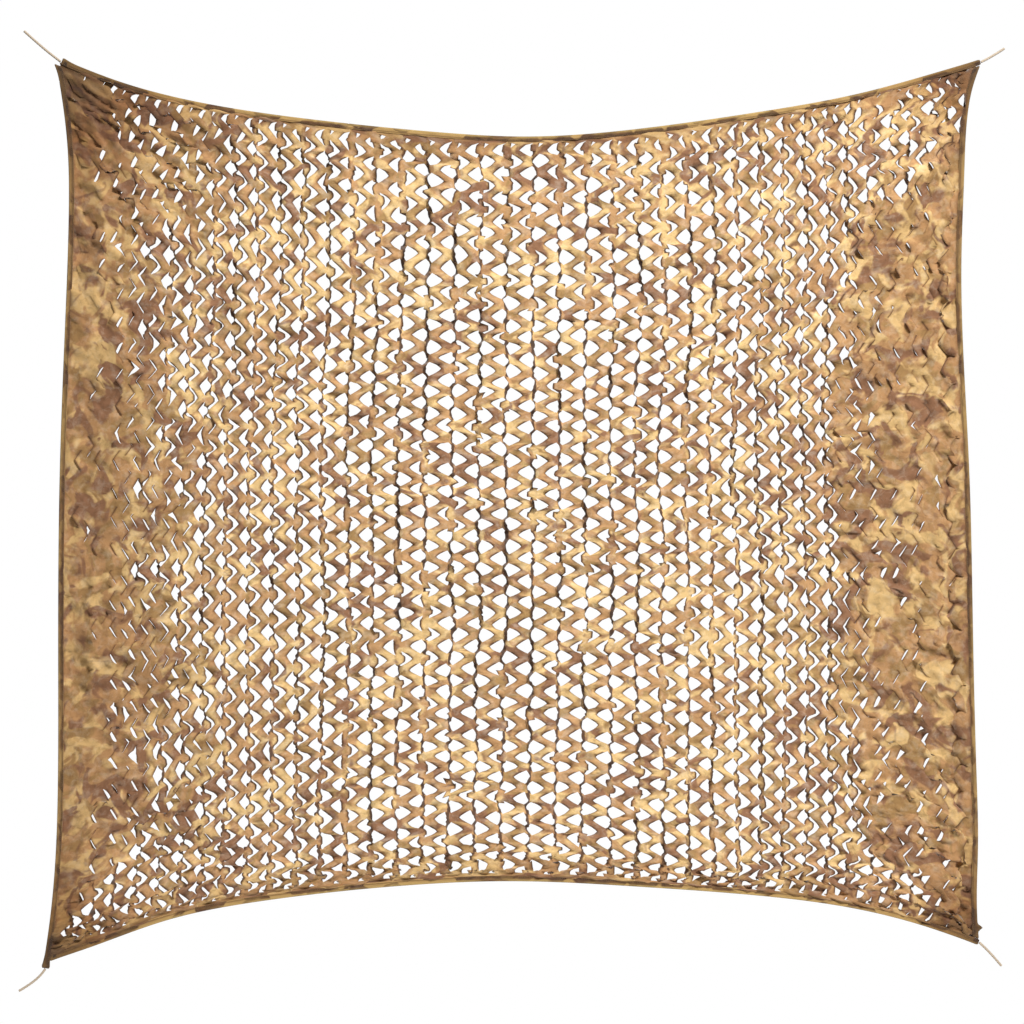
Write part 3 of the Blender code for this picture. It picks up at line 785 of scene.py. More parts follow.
class CutCloth:
    """The cloth as ribbons between zigzag cuts, bridged where the cuts stop.

    Arrays run over x, y, z; the ribbon; three places across it; the steps along it.
    Even cuts are bridged at the half rows, odd cuts at the full rows.
    """

    def __init__(self):
        self.rng = np.random.default_rng(CLOTH_SEED)
        self.steps = np.arange(STEPS + 1)
        phase = (self.steps / ROW_STEPS) % 1.0
        self.swing = np.abs(2 * phase - 1)          # 1 at full rows, 0 at half rows
        self.uncut = (self.steps <= UNCUT_HEM[0]) | (self.steps >= STEPS - UNCUT_HEM[1])
        self.flat = self.lay_flat()
        self.hang()
        self.twist()
        self.find_bridges()
        self.threads = self.list_threads()

    def lay_flat(self):
        """The cloth before it is opened."""
        flat = np.zeros((3, RIBBONS, 3, STEPS + 1), np.float32)
        for i in range(3):
            left = (np.arange(RIBBONS)[:, None] + i / 2) * RIBBON_WIDTH
            flat[0, :, i] = left + CUT_DEPTH * self.swing
            flat[2, :, i] = -self.steps * ROW_PITCH / ROW_STEPS
        flat[0, 0, 0] = -SELVAGE
        flat[0, -1, 2] = RIBBONS * RIBBON_WIDTH + CUT_DEPTH + SELVAGE
        for edge in (0, -1):
            flat[0, edge, 1] = (flat[0, edge, 0] + flat[0, edge, 2]) / 2
        return flat

    @staticmethod
    def even_cuts(rows):
        """Share of the net's width at which each even cut hangs, from a table of pair widths."""
        share = np.linspace(0, 1, WIDTH_SAMPLES)
        width = np.interp(share, *np.array(rows).T)
        passed = np.concatenate(([0.0], np.cumsum(2 / (width[1:] + width[:-1]))))
        return np.interp(np.linspace(0, passed[-1], RIBBONS // 2 + 1), passed, share)

    def cut_places(self):
        """Share of the net's width at which each cut hangs, at every step down it."""
        even = np.repeat(self.even_cuts(PAIR_WIDTHS)[:, None], STEPS + 1, axis=1)
        pair_width = np.diff(even, axis=0) * NET_WIDTH
        pairs = RIBBONS // 2
        tendency = (pair_width - TURNING_WIDTH) / TURNING_SPREAD
        for share, height, across, down, pull in PULLED_CORNERS:
            away = np.hypot((even[1:] - share) / across, (self.steps / STEPS - height) / down)
            tendency += pull * np.clip(2 - 2 * away, 0, 1)
        chance = uneven(self.rng, (pairs, STEPS + 1), (pairs, CUT_ROWS))
        level, steeper, share = OPENING
        self.opened = np.clip(level + steeper * (tendency + share * chance), 0, 1)
        self.opened *= np.clip(self.steps / ROW_STEPS / HEM_FLAT[0], 0, 1)
        self.opened *= np.clip((STEPS - self.steps) / ROW_STEPS / HEM_FLAT[1], 0, 1)
        tongues = uneven(self.rng, (pairs, STEPS + 1), (pairs, 2 * CUT_ROWS + 1))
        level = np.interp(pair_width, *np.array(TONGUE_LEVELS).T)
        level -= TOP_TONGUES[1] * np.clip(1 - self.steps / STEPS / TOP_TONGUES[0], 0, 1)
        self.on_edge = self.opened * (1 - np.clip(TONGUE_STEEP * (tongues - level), 0, TONGUE_MOST))
        self.one_sided = np.interp(pair_width, *np.array(ONE_SIDED).T)
        self.wide_opened = (np.vstack([0 * self.opened[:1], self.opened[:-1]]) + self.opened) / 2
        chain = np.interp(pair_width, *np.array(CHAIN_WIDTHS).T)
        places = np.zeros((RIBBONS + 1, STEPS + 1))
        places[::2] = even
        places[1::2] = even[:-1] + (even[1:] - even[:-1]) * (1 - chain / pair_width)
        return places

    def row_places(self, across):
        """Share of the net's height of each step, for cuts at these shares of its width."""
        table = np.array(ROW_LENGTHS)
        share = self.steps / STEPS
        middle = np.interp(share, table[:, 0], table[:, 1])
        side = np.interp(share, table[:, 0], table[:, 2])
        weight = np.clip(np.abs(2 * across - 1) * SIDE_ROWS[0], 0, 1)[:, None] ** SIDE_ROWS[1]
        length = (1 - weight) * middle + weight * side
        passed = np.cumsum((length[:, 1:] + length[:, :-1]) / 2, axis=1)
        passed = np.concatenate((np.zeros((len(across), 1)), passed), axis=1)
        return passed / passed[:, -1:]

    def hang(self):
        """A first guess at the hung cloth: wide ribbons swing out, narrow ones stand on edge."""
        across = self.cut_shares = self.cut_places()
        down = self.row_places(across.mean(axis=1))
        spot = patch(ring(HEM_TUCK), across, down)
        inside = np.clip(np.minimum(np.minimum(across, 1 - across) * SPOT_FADE[0],
                                    np.minimum(down, 1 - down) * SPOT_FADE[1]), 0, 1)
        for axis in (0, 1):
            wide = uneven(self.rng, across.shape, WIDE_KNOTS)
            slow = uneven(self.rng, across.shape, (RIBBONS // 3, CUT_ROWS // 2))
            quick = uneven(self.rng, across.shape, (RIBBONS, CUT_ROWS * 2))
            spot[..., axis] += (UNEVEN_WIDE * wide + UNEVEN_SLOW * slow + UNEVEN_QUICK * quick) * inside
        self.spot = spot
        self.now = np.zeros_like(self.flat)
        # how far over a narrow ribbon is, from its left cut to its right
        self.across = np.zeros((RIBBONS // 2, STEPS + 1))
        flat_ends = np.zeros((RIBBONS // 2 + 1, STEPS + 1))
        # how much of a swing the blunt ends of a ribbon take
        flat_ends[1:] = BLUNT * self.opened * (1 - POINTED * self.one_sided)
        for r in range(RIBBONS):
            left, right = spot[r, :, 0], spot[r + 1, :, 0]
            before, after = flat_ends[r // 2], flat_ends[r // 2 + 1]
            if r % 2 == 0:
                opened = self.wide_opened[r // 2]
                swing = right - left - RIBBON_WIDTH
                swing += (np.minimum(SWING_OPEN, SWING_SHARE * (right - left)) - swing) * opened
                sways = (np.maximum(0, self.swing - before) / (1 - before),
                         np.maximum(0, 1 - self.swing - after) / (1 - after))
                sways = [sway + ROUNDED * opened * sway * (1 - sway) for sway in sways]
                less = 1 - LEANING_SWING * self.one_sided[r // 2]
                edges = left + swing * sways[0], right - swing * less * sways[1]
            else:
                way = self.across[r // 2] = np.clip((1 - self.swing - after) / (1 - 2 * after), 0, 1)
                turned = self.opened[r // 2] * ease(way)
                self.on_edge[r // 2] += self.one_sided[r // 2] * (turned - self.on_edge[r // 2])
                lying = RIBBON_WIDTH * (1 - LEANING_WIDTH * self.one_sided[r // 2])
                wide = lying + (ON_EDGE_WIDTH - lying) * self.on_edge[r // 2]
                start = left + (right - left - wide) * way
                edges = start, start + wide
            edges = [np.where(self.uncut, place, edge) for edge, place in zip(edges, (left, right))]
            for i, share in enumerate((0.0, 0.5, 1.0)):
                self.now[0, r, i] = edges[0] * (1 - share) + edges[1] * share
                self.now[2, r, i] = spot[r, :, 1] * (1 - share) + spot[r + 1, :, 1] * share
        self.now[0, 0, 0], self.now[2, 0, 0] = spot[0, :, 0], spot[0, :, 1]
        self.now[0, -1, 2], self.now[2, -1, 2] = spot[-1, :, 0], spot[-1, :, 1]
        for edge in (0, -1):
            self.now[0, edge, 1] = (self.now[0, edge, 0] + self.now[0, edge, 2]) / 2

    def twist(self):
        """Turns the narrow ribbons on edge, one way or the other, with the wide ones between."""
        shape = (RIBBONS // 2 + 1, STEPS + 1)
        turn = np.tanh(TURN_SHARP * uneven(self.rng, shape, (RIBBONS // 2 + 1, CUT_ROWS // 4)))
        deeper = TURN_UNEVEN * uneven(self.rng, shape, (RIBBONS // 2 + 1, CUT_ROWS * 2))
        turn *= np.clip(1 + deeper, *TURN_LIMITS)
        down = self.steps / STEPS
        turn *= np.clip(np.minimum(down, 1 - down) * TURN_FADE, 0, 1)
        turn[1:] *= self.on_edge
        turn[0] = 0
        lift = np.zeros_like(self.now[1])
        for r in range(RIBBONS):
            before, after = turn[r // 2], turn[r // 2 + 1]
            if r % 2:
                way = self.across[r // 2]
                lift[r, 0] = after * (TWIST_BRIDGED + (TWIST_FREE - TWIST_BRIDGED) * way)
                lift[r, 2] = -after * (TWIST_FREE + (TWIST_BRIDGED - TWIST_FREE) * way)
            else:
                lift[r, 0] = -TWIST_BRIDGED * before * np.minimum(1, FREE_EDGE[0] * (1 - self.swing))
                lift[r, 2] = TWIST_BRIDGED * after * np.minimum(1, FREE_EDGE[0] * self.swing)
            lift[r, 1] = (lift[r, 0] + lift[r, 2]) / 2
        self.lift = lift
        self.now[1] = lift + billow(self.now[0], self.now[2])
        self.now[1] += SEED_DEPTH * self.rng.standard_normal(lift.shape)
        for axis in (0, 1, 2):
            rough = uneven(self.rng, (RIBBONS // 2 * 3, STEPS + 1), (RIBBONS // 2 * 3, CUT_ROWS * 6))
            rough = rough.reshape(RIBBONS // 2, 3, STEPS + 1) * self.on_edge[:, None, :]
            self.now[axis, 1::2] += JAGGED * rough
        self.seed = self.now.copy()

    @staticmethod
    def pair_beside(cut):
        """The pair of ribbons on the left of a cut, or the pair that the cut divides."""
        return np.clip((cut - 1) // 2, 0, RIBBONS // 2 - 1)

    def find_bridges(self):
        """The places along each cut where its two sides are one cloth."""
        self.bridges, self.centres = [], []
        for parity, first in ((0, ROW_STEPS // 2), (1, 0)):
            cuts = np.arange(2 - parity, RIBBONS, 2)
            middles = np.arange(first, STEPS + 1, ROW_STEPS)
            for offset in BRIDGE_STEPS:
                cut, step = (grid.ravel() for grid in np.meshgrid(cuts, middles + offset, indexing="ij"))
                kept = (step >= 0) & (step <= STEPS)
                if abs(offset) > 1:
                    blunt = self.opened * (1 - self.one_sided)
                    kept &= blunt[self.pair_beside(cut), np.clip(step, 0, STEPS)] > 0.5
                self.bridges.append(np.stack([cut[kept], step[kept]]))
                if offset == 0:
                    self.centres.append(self.bridges[-1])
            cut, middle = (grid.ravel() for grid in np.meshgrid(cuts, middles, indexing="ij"))
            share = self.cut_shares[cut, middle]
            closed = self.opened[self.pair_beside(cut), middle] < 0.5
            plain = closed & (self.rng.random(cut.size) < np.interp(share, *np.array(PLAIN_CUTS).T))
            short = closed & (self.rng.random(cut.size) < SHORT_CUTS)
            for offset in range(1, ROW_STEPS):
                step = middle + offset
                kept = (plain | (short & (offset < SHORT_FROM))) & (step <= STEPS)
                self.bridges.append(np.stack([cut[kept], step[kept]]))
        hems = np.meshgrid(np.arange(1, RIBBONS), np.flatnonzero(self.uncut), indexing="ij")
        self.bridges.append(np.stack([grid.ravel() for grid in hems]))
        self.bridges = np.unique(np.concatenate(self.bridges, axis=1), axis=1)
        self.centres = np.concatenate(self.centres, axis=1)

    def list_threads(self):
        """Pairs of places in the arrays that keep their distance, and how firmly."""
        whole = slice(None)

        def along(step):
            return (whole, whole, slice(0, -step)), (whole, whole, slice(step, None))

        families = [
            (*along(1), 1.0),
            ((whole, slice(0, 2), whole), (whole, slice(1, 3), whole), 1.0),
            ((whole, slice(0, 2), slice(0, -1)), (whole, slice(1, 3), slice(1, None)), SHEAR_HOLD),
            ((whole, slice(1, 3), slice(0, -1)), (whole, slice(0, 2), slice(1, None)), SHEAR_HOLD),
            (*along(2), BEND_HOLD),
            ((whole, 0, whole), (whole, 2, whole), BEND_HOLD),
            (*along(4), BEND_HOLD / 3)]
        axes = (slice(None),)
        folded = np.zeros(self.now.shape[1:], np.float32)
        folded[1::2] = self.opened[:, None, :]
        folded[::2] = KEPT_OPEN * self.opened[:, None, :]
        folded[..., self.uncut] = 1.0

        def reach(shape, a, b):
            return np.sqrt(((shape[axes + a] - shape[axes + b]) ** 2).sum(0))

        listed = []
        for a, b, hold in families:
            flat, seed, share = reach(self.flat, a, b), reach(self.seed, a, b), folded[a]
            listed.append((axes + a, axes + b, a, b, flat * (1 - share) + seed * share, hold))
        return listed

    def pull_threads(self):
        """Moves every point towards what its threads ask for."""
        push, share = np.zeros_like(self.now), np.zeros(self.now.shape[1:], np.float32)
        for first, second, a, b, length, hold in self.threads:
            apart = self.now[second] - self.now[first]
            far = np.sqrt((apart * apart).sum(0)) + 1e-9
            apart *= (far - length) / far * (0.5 * hold)
            push[first] += apart
            push[second] -= apart
            share[a] += hold
            share[b] += hold
        self.now += push * (OVER_RELAX / np.maximum(share, 0.5))

    def join_bridges(self):
        cut, step = self.bridges
        middle = (self.now[:, cut - 1, 2, step] + self.now[:, cut, 0, step]) / 2
        self.now[:, cut - 1, 2, step] = middle
        self.now[:, cut, 0, step] = middle

    def settle(self, rounds):
        """Lets the cloth find its shape between the pulled edges."""
        cut, step = self.centres
        goal = np.stack([self.spot[cut, step, 0], 0 * self.spot[cut, step, 0],
                         self.spot[cut, step, 1]])
        goal[1] = billow(goal[0], goal[2]) + self.lift[cut, 0, step]
        held = np.zeros(self.now.shape[1:], bool)
        held[:, :, (0, -1)] = True
        held[0, 0, :] = held[-1, 2, :] = True
        hem = self.now.copy()
        hem[1] = billow(hem[0], hem[2])
        sway = billow(self.now[0], self.now[2])
        stand = (sway + self.lift)[1::2]
        lowest = np.maximum(sway - RELIEF_MOST, CAD_LOW.y - BOX_MARGIN)
        highest = np.minimum(sway + RELIEF_MOST, CAD_HIGH.y + BOX_MARGIN)
        before = self.now.copy()
        for k in range(rounds):
            speed = np.clip((self.now - before) * SPEED_KEPT, -SPEED_MOST, SPEED_MOST)
            before = self.now.copy()
            self.now += speed
            place_hold = PLACE_HOLD[0] + (PLACE_HOLD[1] - PLACE_HOLD[0]) * k / rounds
            hold = np.array((place_hold, DEPTH_HOLD, place_hold))[:, None]
            for _ in range(PULLS):
                self.pull_threads()
                self.join_bridges()
                centre = self.now[:, cut, 0, step]
                centre += (goal - centre) * hold
                self.now[:, cut, 0, step] = centre
                self.now[:, cut - 1, 2, step] = centre
                self.now[1, 1::2] += (stand - self.now[1, 1::2]) * STAND_HOLD
                self.now[:, held] = hem[:, held]
            self.now[1] = np.clip(self.now[1], lowest, highest)
        self.now += self.creases()
        self.keep_inside()
        self.join_bridges()
        self.now[1] = np.clip(self.now[1], lowest, highest)

    def keep_inside(self):
        """Brings back what has strayed past the hem."""
        hem = ring(HEM_TUCK)
        for edge, side in (("top", np.minimum), ("bottom", np.maximum)):
            self.now[2] = side(self.now[2], np.interp(self.now[0], hem[edge][:, 0], hem[edge][:, 1]))
        for edge, side in (("left", np.maximum), ("right", np.minimum)):
            self.now[0] = side(self.now[0], np.interp(-self.now[2], -hem[edge][:, 1], hem[edge][:, 0]))

    def gathered(self):
        """Radial folds round each corner."""
        folds = np.zeros_like(self.now[1])
        wander = uneven(self.rng, (3 * RIBBONS, STEPS + 1), WANDER_KNOTS)
        wander = wander.reshape(RIBBONS, 3, STEPS + 1)
        for x, z, reach, depth, _ in GATHERS:
            over, down = self.now[0] - x, self.now[2] - z
            near = np.exp(-(over ** 2 + down ** 2) / reach ** 2)
            turn = np.arctan2(down, over)
            folds += depth * near * np.sin(GATHER_FOLDS * turn + GATHER_WANDER * wander)
        return folds

    def creases(self):
        """How the cloth's curls, flicked edges and crushed sides move it from its settled shape."""
        inside = np.clip(np.minimum(self.steps, STEPS - self.steps) / ROW_STEPS, 0, 1)
        moved = np.zeros_like(self.now)
        relief = moved[1]
        relief[2:-2:2, 1] -= CURL
        free = np.clip(FREE_EDGE[0] * np.stack([self.swing, 1 - self.swing]) - FREE_EDGE[1], 0, 1)
        flick = FLICK * uneven(self.rng, (2 * RIBBONS, STEPS + 1), (2 * RIBBONS, 2 * CUT_ROWS + 1))
        for r in range(1, RIBBONS - 1):
            relief[r, 0] += flick[2 * r] * free[r % 2]
            relief[r, 2] += flick[2 * r + 1] * free[1 - r % 2]
        closed = np.ones((RIBBONS // 2 + 1, STEPS + 1))
        closed[1:] -= self.opened
        closed = np.repeat((closed[1:] + closed[:-1]) / 2, 2, axis=0)
        for across, along, depth in CRUSH:
            knots = round(RIBBONS * RIBBON_WIDTH / across), round(CUT_ROWS * ROW_PITCH / along)
            crush = depth * uneven(self.rng, (2 * RIBBONS + 1, STEPS + 1), knots)
            for i in range(3):
                relief[:, i] += crush[i::2][:RIBBONS] * closed
        loose = uneven(self.rng, flick.shape, (2 * RIBBONS, 2 * CUT_ROWS + 1))
        loose = np.clip(LOOSE_TIPS[0] * loose - LOOSE_TIPS[1], 0, 1)
        for r in range(1, RIBBONS - 1):
            moved[0, r, 0] = FOLD_BACK * closed[r] * loose[2 * r] * free[r % 2]
            moved[0, r, 2] = -FOLD_BACK * closed[r] * loose[2 * r + 1] * free[1 - r % 2]
            if r % 2 == 0:
                moved[0, r, 0] -= SPREAD * (1 - closed[r]) * free[0]
                moved[0, r, 2] += SPREAD * (1 - closed[r]) * free[1]
        relief += self.gathered()
        moved[:, 0, 0] = moved[:, -1, 2] = 0
        return moved * inside

    @staticmethod
    def quads(grid):
        """The four corners of every cell between a ribbon's places and steps."""
        corners = (grid[:, :-1, :-1], grid[:, :-1, 1:], grid[:, 1:, 1:], grid[:, 1:, :-1])
        return np.stack(corners, axis=-1).reshape(-1, 4)

    def mesh(self, finish):
        """One thin sheet: bridged points are shared, and cut edges stay open."""
        number = np.arange(self.now[0].size).reshape(self.now.shape[1:])
        cut, step = self.bridges
        number[cut, 0, step] = number[cut - 1, 2, step]
        kept, number = np.unique(number, return_inverse=True)
        faces = self.quads(number.reshape(self.now.shape[1:]))
        width, length = self.size()
        flat_u = self.quads((self.flat[0] + SELVAGE) / width)
        flat_v = self.quads(1 + self.flat[2] / length)
        points = self.now.reshape(3, -1).T[kept]
        made = mesh_piece("net_sheet", points, faces, finish, np.stack((flat_u, flat_v), axis=-1))
        # Painted shade at the cut edges: lower edges of a slanting ribbon darker than its upper ones, as for
        # light from above, and chains standing on edge dark for their shadowed sides
        edge = np.zeros(self.now.shape[1:], np.float32)
        slant = -np.sin(2 * np.pi * self.steps / ROW_STEPS) * (LOWER_EDGE_SHADE - UPPER_EDGE_SHADE) / 2
        shown = CLOSED_EDGE + (1 - CLOSED_EDGE) * self.wide_opened
        edge[::2, 0] = shown * ((LOWER_EDGE_SHADE + UPPER_EDGE_SHADE) / 2 + slant)
        edge[::2, 2] = shown * ((LOWER_EDGE_SHADE + UPPER_EDGE_SHADE) / 2 - slant)
        shown = CLOSED_EDGE + (1 - CLOSED_EDGE) * self.opened
        edge[1::2, 0] = edge[1::2, 2] = shown * LOWER_EDGE_SHADE
        spread = SHADE_UNEVEN[0] * uneven(self.rng, self.on_edge.shape, (RIBBONS // 2, 2 * CUT_ROWS))
        edge[1::2, 1] = np.clip(ON_EDGE_SHADE + spread, SHADE_UNEVEN[1], 1) * self.on_edge
        edge[cut, 0, step] = edge[cut - 1, 2, step] = 0.0
        # Painted light: how far the cloth is pulled open, which the finish turns into a paler colour
        pull = np.zeros_like(edge)
        pull[::2] = self.wide_opened[:, None, :]
        pull[1::2] = self.opened[:, None, :]
        # Painted shade and grime, darkest near the corners and edges
        shades = {"cut_edge_shade": edge, "pulled_open": pull, "shade_and_grime": shade_and_grime(self.now[0], self.now[2])}
        for name, values in shades.items():
            attribute = made.data.attributes.new(name, "FLOAT", "POINT")
            attribute.data.foreach_set("value", values.reshape(-1)[kept].astype(np.float32))
        return made

    @staticmethod
    def size():
        """Width and length of the flat cloth."""
        return RIBBONS * RIBBON_WIDTH + CUT_DEPTH + 2 * SELVAGE, CUT_ROWS * ROW_PITCH


# ---- bindings ----
BAND_WIDTH = 0.018
BAND_HALF = 0.0026
BAND_STATION = 0.006
STITCH_PITCH, STITCH_LENGTH, STITCH_THICKNESS = 0.0060, 0.0046, 0.0009
STITCH_PROUD = 0.0001         # how far its middle stands out of the strip
STITCH_UNEVEN, STITCH_SEED = 0.25, 7
PIECE_GAP = 0.001
# Half of a binding's section: how far in from the fold, and its share of the half thickness.
BAND_SECTION = (
    (0.0000, 0.00), (0.0005, 0.62), (0.0016, 0.95), (0.0038, 1.00), (0.0060, 0.80),
    (0.0085, 0.92), (0.0115, 0.90), (0.0140, 0.62), (0.0160, 0.80), (0.0177, 0.70),
    (0.0180, 0.30))
WRINKLES = ((0.030, 0.00060), (0.013, 0.00040))   # spacing along the binding, depth
WRINKLE_KNOTS = 7             # knots of the wrinkles round the section
WRINKLE_SEED = 40
LENGTH_SAMPLES = 50           # points by which a binding's length is measured
END_PRINT = ((0, 0), (0.001, 0), (0.001, 0.01), (0, 0.01))   # the bit of print that its cut ends show
SEAM_AT = 7                   # the place in the section where the seam runs
END_ROUNDING = 0.22           # how much narrower its cut ends are
END_REACH = 0.060             # how much of a binding its loose end takes
# How a binding's ends stray from its edge line, at its start and at its end: x, z, and how much wider.
LOOSE_ENDS = {
    "top": ((0.003, 0.003, 1.30), (0.0, 0.001, 1.0)),
    "left": ((-0.004, -0.003, 1.35), (0.0, 0.0, 1.60)),
    "right": ((0.0, 0.0, 1.0), (0.0, 0.0, 1.2)),
    "bottom": ((0.0, 0.0, 1.15), (0.0, 0.0, 1.1)),
}
TAB_HEIGHT, TAB_REACH, TAB_OUT = -2.590, 0.008, 0.016   # the folded tab on the right binding


def rail(edge, distance, count):
    """A line along a binding at a distance from its fold, between the binding's ends."""
    line = inset(edge, distance)
    ends = [inset(butt, BAND_WIDTH + PIECE_GAP) if butt else None for butt in END_BUTTS_ON[edge]]
    start = 0.0 if ends[0] is None else crossing(line, ends[0])
    end = arc_lengths(line)[-1] if ends[1] is None else crossing(line, ends[1])
    return at_shares(stretch(line, start, end), np.linspace(0, 1, count))


def binding(edge, order, finish):
    """A strip folded over the cloth's edge and sewn down, a little wrinkled along its seam."""
    rng = np.random.default_rng(WRINKLE_SEED + order)
    length = arc_lengths(rail(edge, 0.0, LENGTH_SAMPLES))[-1]
    count = round(length / BAND_STATION) + 1
    along = np.linspace(0, length, count)
    section = ([(inward, -share) for inward, share in BAND_SECTION]
               + [(inward, share) for inward, share in BAND_SECTION[:0:-1]])
    size = len(section)
    wrinkle = np.zeros((count, size))
    for spacing, depth in WRINKLES:
        wrinkle += depth * uneven(rng, (count, size), (round(length / spacing), WRINKLE_KNOTS))
    points = np.zeros((count, size, 3))
    near_ends = np.clip(1 - np.stack([along, length - along]) / END_REACH, 0, 1) ** 2
    (start_x, start_z, start_wide), (end_x, end_z, end_wide) = LOOSE_ENDS[edge]
    wider = 1 + (start_wide - 1) * near_ends[0] + (end_wide - 1) * near_ends[1]
    wider *= 1 - END_ROUNDING * np.clip(1 - np.minimum(along, length - along) / BAND_STATION, 0, 1)
    stray = np.outer(near_ends[0], (start_x, start_z)) + np.outer(near_ends[1], (end_x, end_z))
    fold, far_side = rail(edge, 0.0, count), rail(edge, BAND_WIDTH, count)
    middle = (fold + far_side) / 2
    for i, (inward, share) in enumerate(section):
        line = middle + (rail(edge, inward, count) - middle) * wider[:, None] + stray
        if edge == "right":
            tab = np.exp(-((line[:, 1] - TAB_HEIGHT) / TAB_REACH) ** 2)
            line[:, 0] += TAB_OUT * tab * (1 - inward / BAND_WIDTH) ** 2
        out = np.sign(share) if share else 0.0
        side = BAND_HALF * share * wider ** 2 + wrinkle[:, i] * out
        points[:, i, 0], points[:, i, 2] = line[:, 0], line[:, 1]
        points[:, i, 1] = billow(line[:, 0], line[:, 1]) + side
    number = np.arange(count * size).reshape(count, size)
    faces, face_uv = [], []
    for k in range(count - 1):
        for i in range(size):
            after = (i + 1) % size
            faces.append((number[k, i], number[k, after], number[k + 1, after], number[k + 1, i]))
            top = (i + 1.5) / (size + 1)
            low = (i + 0.5) / (size + 1)
            first, last = along[k] / length, along[k + 1] / length
            face_uv.append(((first, low), (first, top), (last, top), (last, low)))
    half = len(BAND_SECTION)
    for end in (0, count - 1):
        for i in range(half - 1):
            j = (size - i) % size
            faces.append((number[end, i], number[end, i + 1], number[end, size - i - 1],
                          number[end, j]))
            face_uv.append(END_PRINT)
    made = mesh_piece("band_" + edge, points.reshape(-1, 3), faces, finish, face_uv)
    face_outward(made)
    # Painted shade and grime on the binding, darkest near the corners
    shade = shade_and_grime(points[..., 0], points[..., 2]).ravel()
    attribute = made.data.attributes.new("shade_and_grime", "FLOAT", "POINT")
    attribute.data.foreach_set("value", shade.astype(np.float32))
    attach(made, "root")
    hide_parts("binding_" + edge)
    proud = np.array((0.0, STITCH_PROUD, 0.0))
    return made, [points[:, SEAM_AT] - proud, points[:, -SEAM_AT] + proud]


def stitch_tree():
    """Geometry nodes that lay one stitch of thread at every pitch along each guide line."""
    tree = bpy.data.node_groups.new("seam_stitches", "GeometryNodeTree")
    tree.interface.new_socket("Guides", in_out="INPUT", socket_type="NodeSocketGeometry")
    for name, kind in (("Pitch", "Float"), ("Length", "Float"), ("Thickness", "Float"),
                       ("Unevenness", "Float"), ("Seed", "Int"), ("Thread", "Material")):
        tree.interface.new_socket(name, in_out="INPUT", socket_type="NodeSocket" + kind)
    tree.interface.new_socket("Stitches", in_out="OUTPUT", socket_type="NodeSocketGeometry")
    nodes, links = tree.nodes, tree.links
    given, made = nodes.new("NodeGroupInput"), nodes.new("NodeGroupOutput")

    curves = nodes.new("GeometryNodeMeshToCurve")
    links.new(given.outputs["Guides"], curves.inputs["Mesh"])
    spaced = nodes.new("GeometryNodeResampleCurve")
    spaced.mode = "LENGTH"
    links.new(curves.outputs["Curve"], spaced.inputs["Curve"])
    links.new(given.outputs["Pitch"], spaced.inputs["Length"])

    stitch = nodes.new("GeometryNodeMeshIcoSphere")
    stitch.inputs["Radius"].default_value = 0.5
    stitch.inputs["Subdivisions"].default_value = 1
    along = nodes.new("FunctionNodeAlignRotationToVector")
    along.axis = "Z"
    links.new(nodes.new("GeometryNodeInputTangent").outputs["Tangent"], along.inputs["Vector"])
    shape = nodes.new("ShaderNodeCombineXYZ")
    links.new(given.outputs["Thickness"], shape.inputs["X"])
    links.new(given.outputs["Thickness"], shape.inputs["Y"])
    links.new(given.outputs["Length"], shape.inputs["Z"])
    chance = nodes.new("FunctionNodeRandomValue")
    chance.data_type = "FLOAT"
    shorter = nodes.new("ShaderNodeMath")
    shorter.operation = "SUBTRACT"
    shorter.inputs[0].default_value = 1.0
    links.new(given.outputs["Unevenness"], shorter.inputs[1])
    least, most = [s for s in chance.inputs if s.type == "VALUE" and s.name in ("Min", "Max")]
    links.new(shorter.outputs[0], least)
    most.default_value = 1.0
    links.new(given.outputs["Seed"], chance.inputs["Seed"])
    scale = nodes.new("ShaderNodeVectorMath")
    scale.operation = "SCALE"
    links.new(shape.outputs["Vector"], scale.inputs["Vector"])
    links.new([s for s in chance.outputs if s.type == "VALUE"][0], scale.inputs["Scale"])

    laid = nodes.new("GeometryNodeInstanceOnPoints")
    links.new(spaced.outputs["Curve"], laid.inputs["Points"])
    links.new(stitch.outputs["Mesh"], laid.inputs["Instance"])
    links.new(along.outputs["Rotation"], laid.inputs["Rotation"])
    links.new(scale.outputs["Vector"], laid.inputs["Scale"])
    real = nodes.new("GeometryNodeRealizeInstances")
    links.new(laid.outputs["Instances"], real.inputs["Geometry"])
    dyed = nodes.new("GeometryNodeSetMaterial")
    links.new(real.outputs["Geometry"], dyed.inputs["Geometry"])
    links.new(given.outputs["Thread"], dyed.inputs["Material"])
    links.new(dyed.outputs["Geometry"], made.inputs["Stitches"])
    return tree


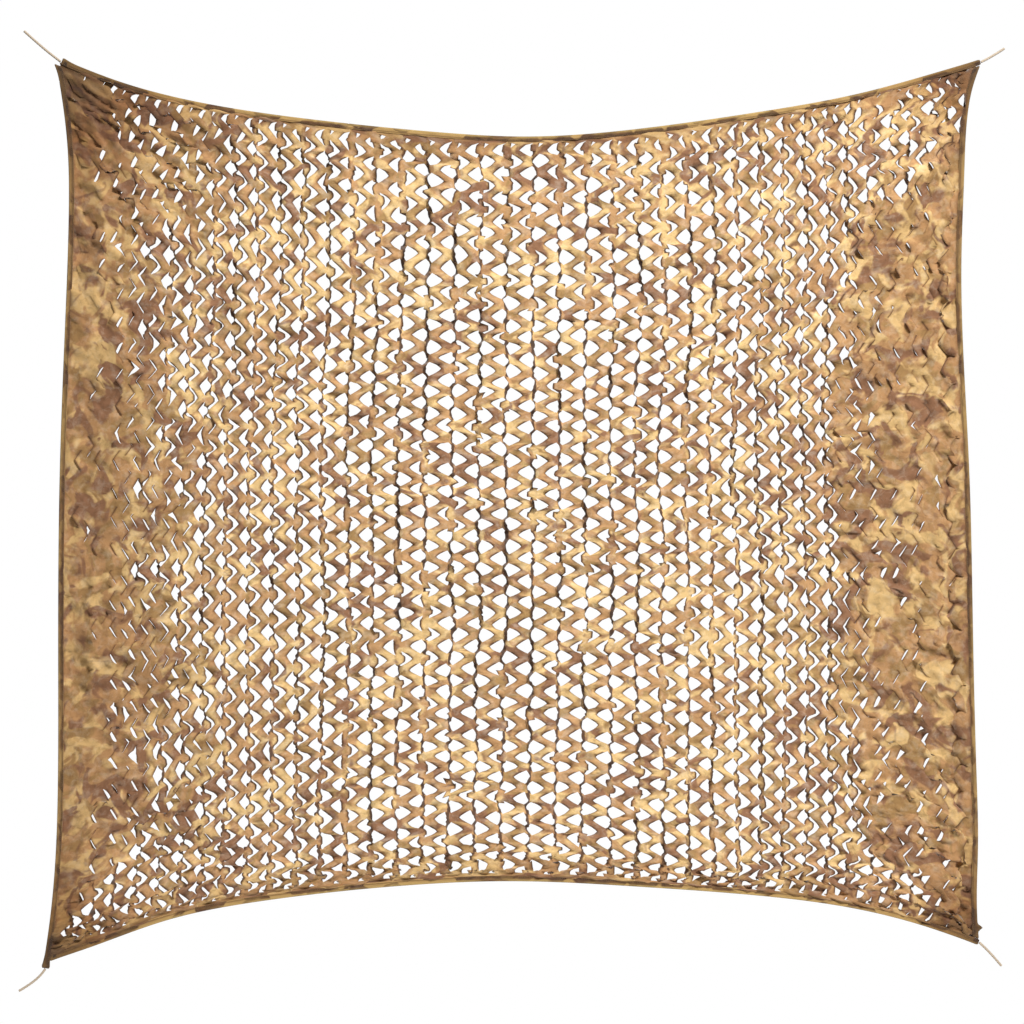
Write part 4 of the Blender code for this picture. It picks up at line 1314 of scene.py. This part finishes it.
def sewn_seams(guides, finish):
    """Every stitch of the bindings' seams, as one mesh."""
    sizes = {"Pitch": STITCH_PITCH, "Length": STITCH_LENGTH, "Thickness": STITCH_THICKNESS,
             "Unevenness": STITCH_UNEVEN, "Seed": STITCH_SEED, "Thread": finish}
    guide = bpy.data.meshes.new("seam_guides")
    starts = np.cumsum([0] + [len(line) for line in guides])
    edges = [(k, k + 1) for first, last in zip(starts[:-1], starts[1:]) for k in range(first, last - 1)]
    guide.from_pydata(np.concatenate(guides).tolist(), edges, [])
    carrier = bpy.data.objects.new("seam_guides", guide)
    bpy.context.scene.collection.objects.link(carrier)
    modifier = carrier.modifiers.new("stitches", "NODES")
    modifier.node_group = stitch_tree()
    for item in modifier.node_group.interface.items_tree:
        if item.in_out == "INPUT" and item.name in sizes:
            modifier[item.identifier] = sizes[item.name]
    evaluated = carrier.evaluated_get(bpy.context.evaluated_depsgraph_get())
    mesh = bpy.data.meshes.new_from_object(evaluated)
    carrier.modifiers.remove(modifier)
    bpy.data.objects.remove(carrier)
    mesh.name = "seam_stitches"
    if not mesh.materials:
        mesh.materials.append(finish)
    made = bpy.data.objects.new("seam_stitches", mesh)
    bpy.context.scene.collection.objects.link(made)
    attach(made, "root")


def dress():
    stand_camera()
    cord_finish = beige_cord()
    for name, route in TIE_ROUTES.items():
        twisted_cord(name, route, cord_finish)
    lay_floor()
    light_studio()

    cloth = CutCloth()
    cloth.settle(SETTLE_ROUNDS)
    flat = cloth.size()
    net = cloth.mesh(camo_cloth(flat))
    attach(net, "root")
    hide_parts("net_cloth")
    level_finish = camo_binding("camo_binding", LEVEL_BAND, LEVEL_GOLD, LEVEL_RUB)
    upright_finish = camo_binding("camo_side_binding", UPRIGHT_BAND, UPRIGHT_GOLD, UPRIGHT_RUB)
    bands, seams = [], []
    for k, edge in enumerate(EDGE_ROWS):
        band, lines = binding(edge, k, upright_finish if edge in ("left", "right") else level_finish)
        bands.append(band)
        seams += lines
    sewn_seams(seams, sewing_thread())


dress()
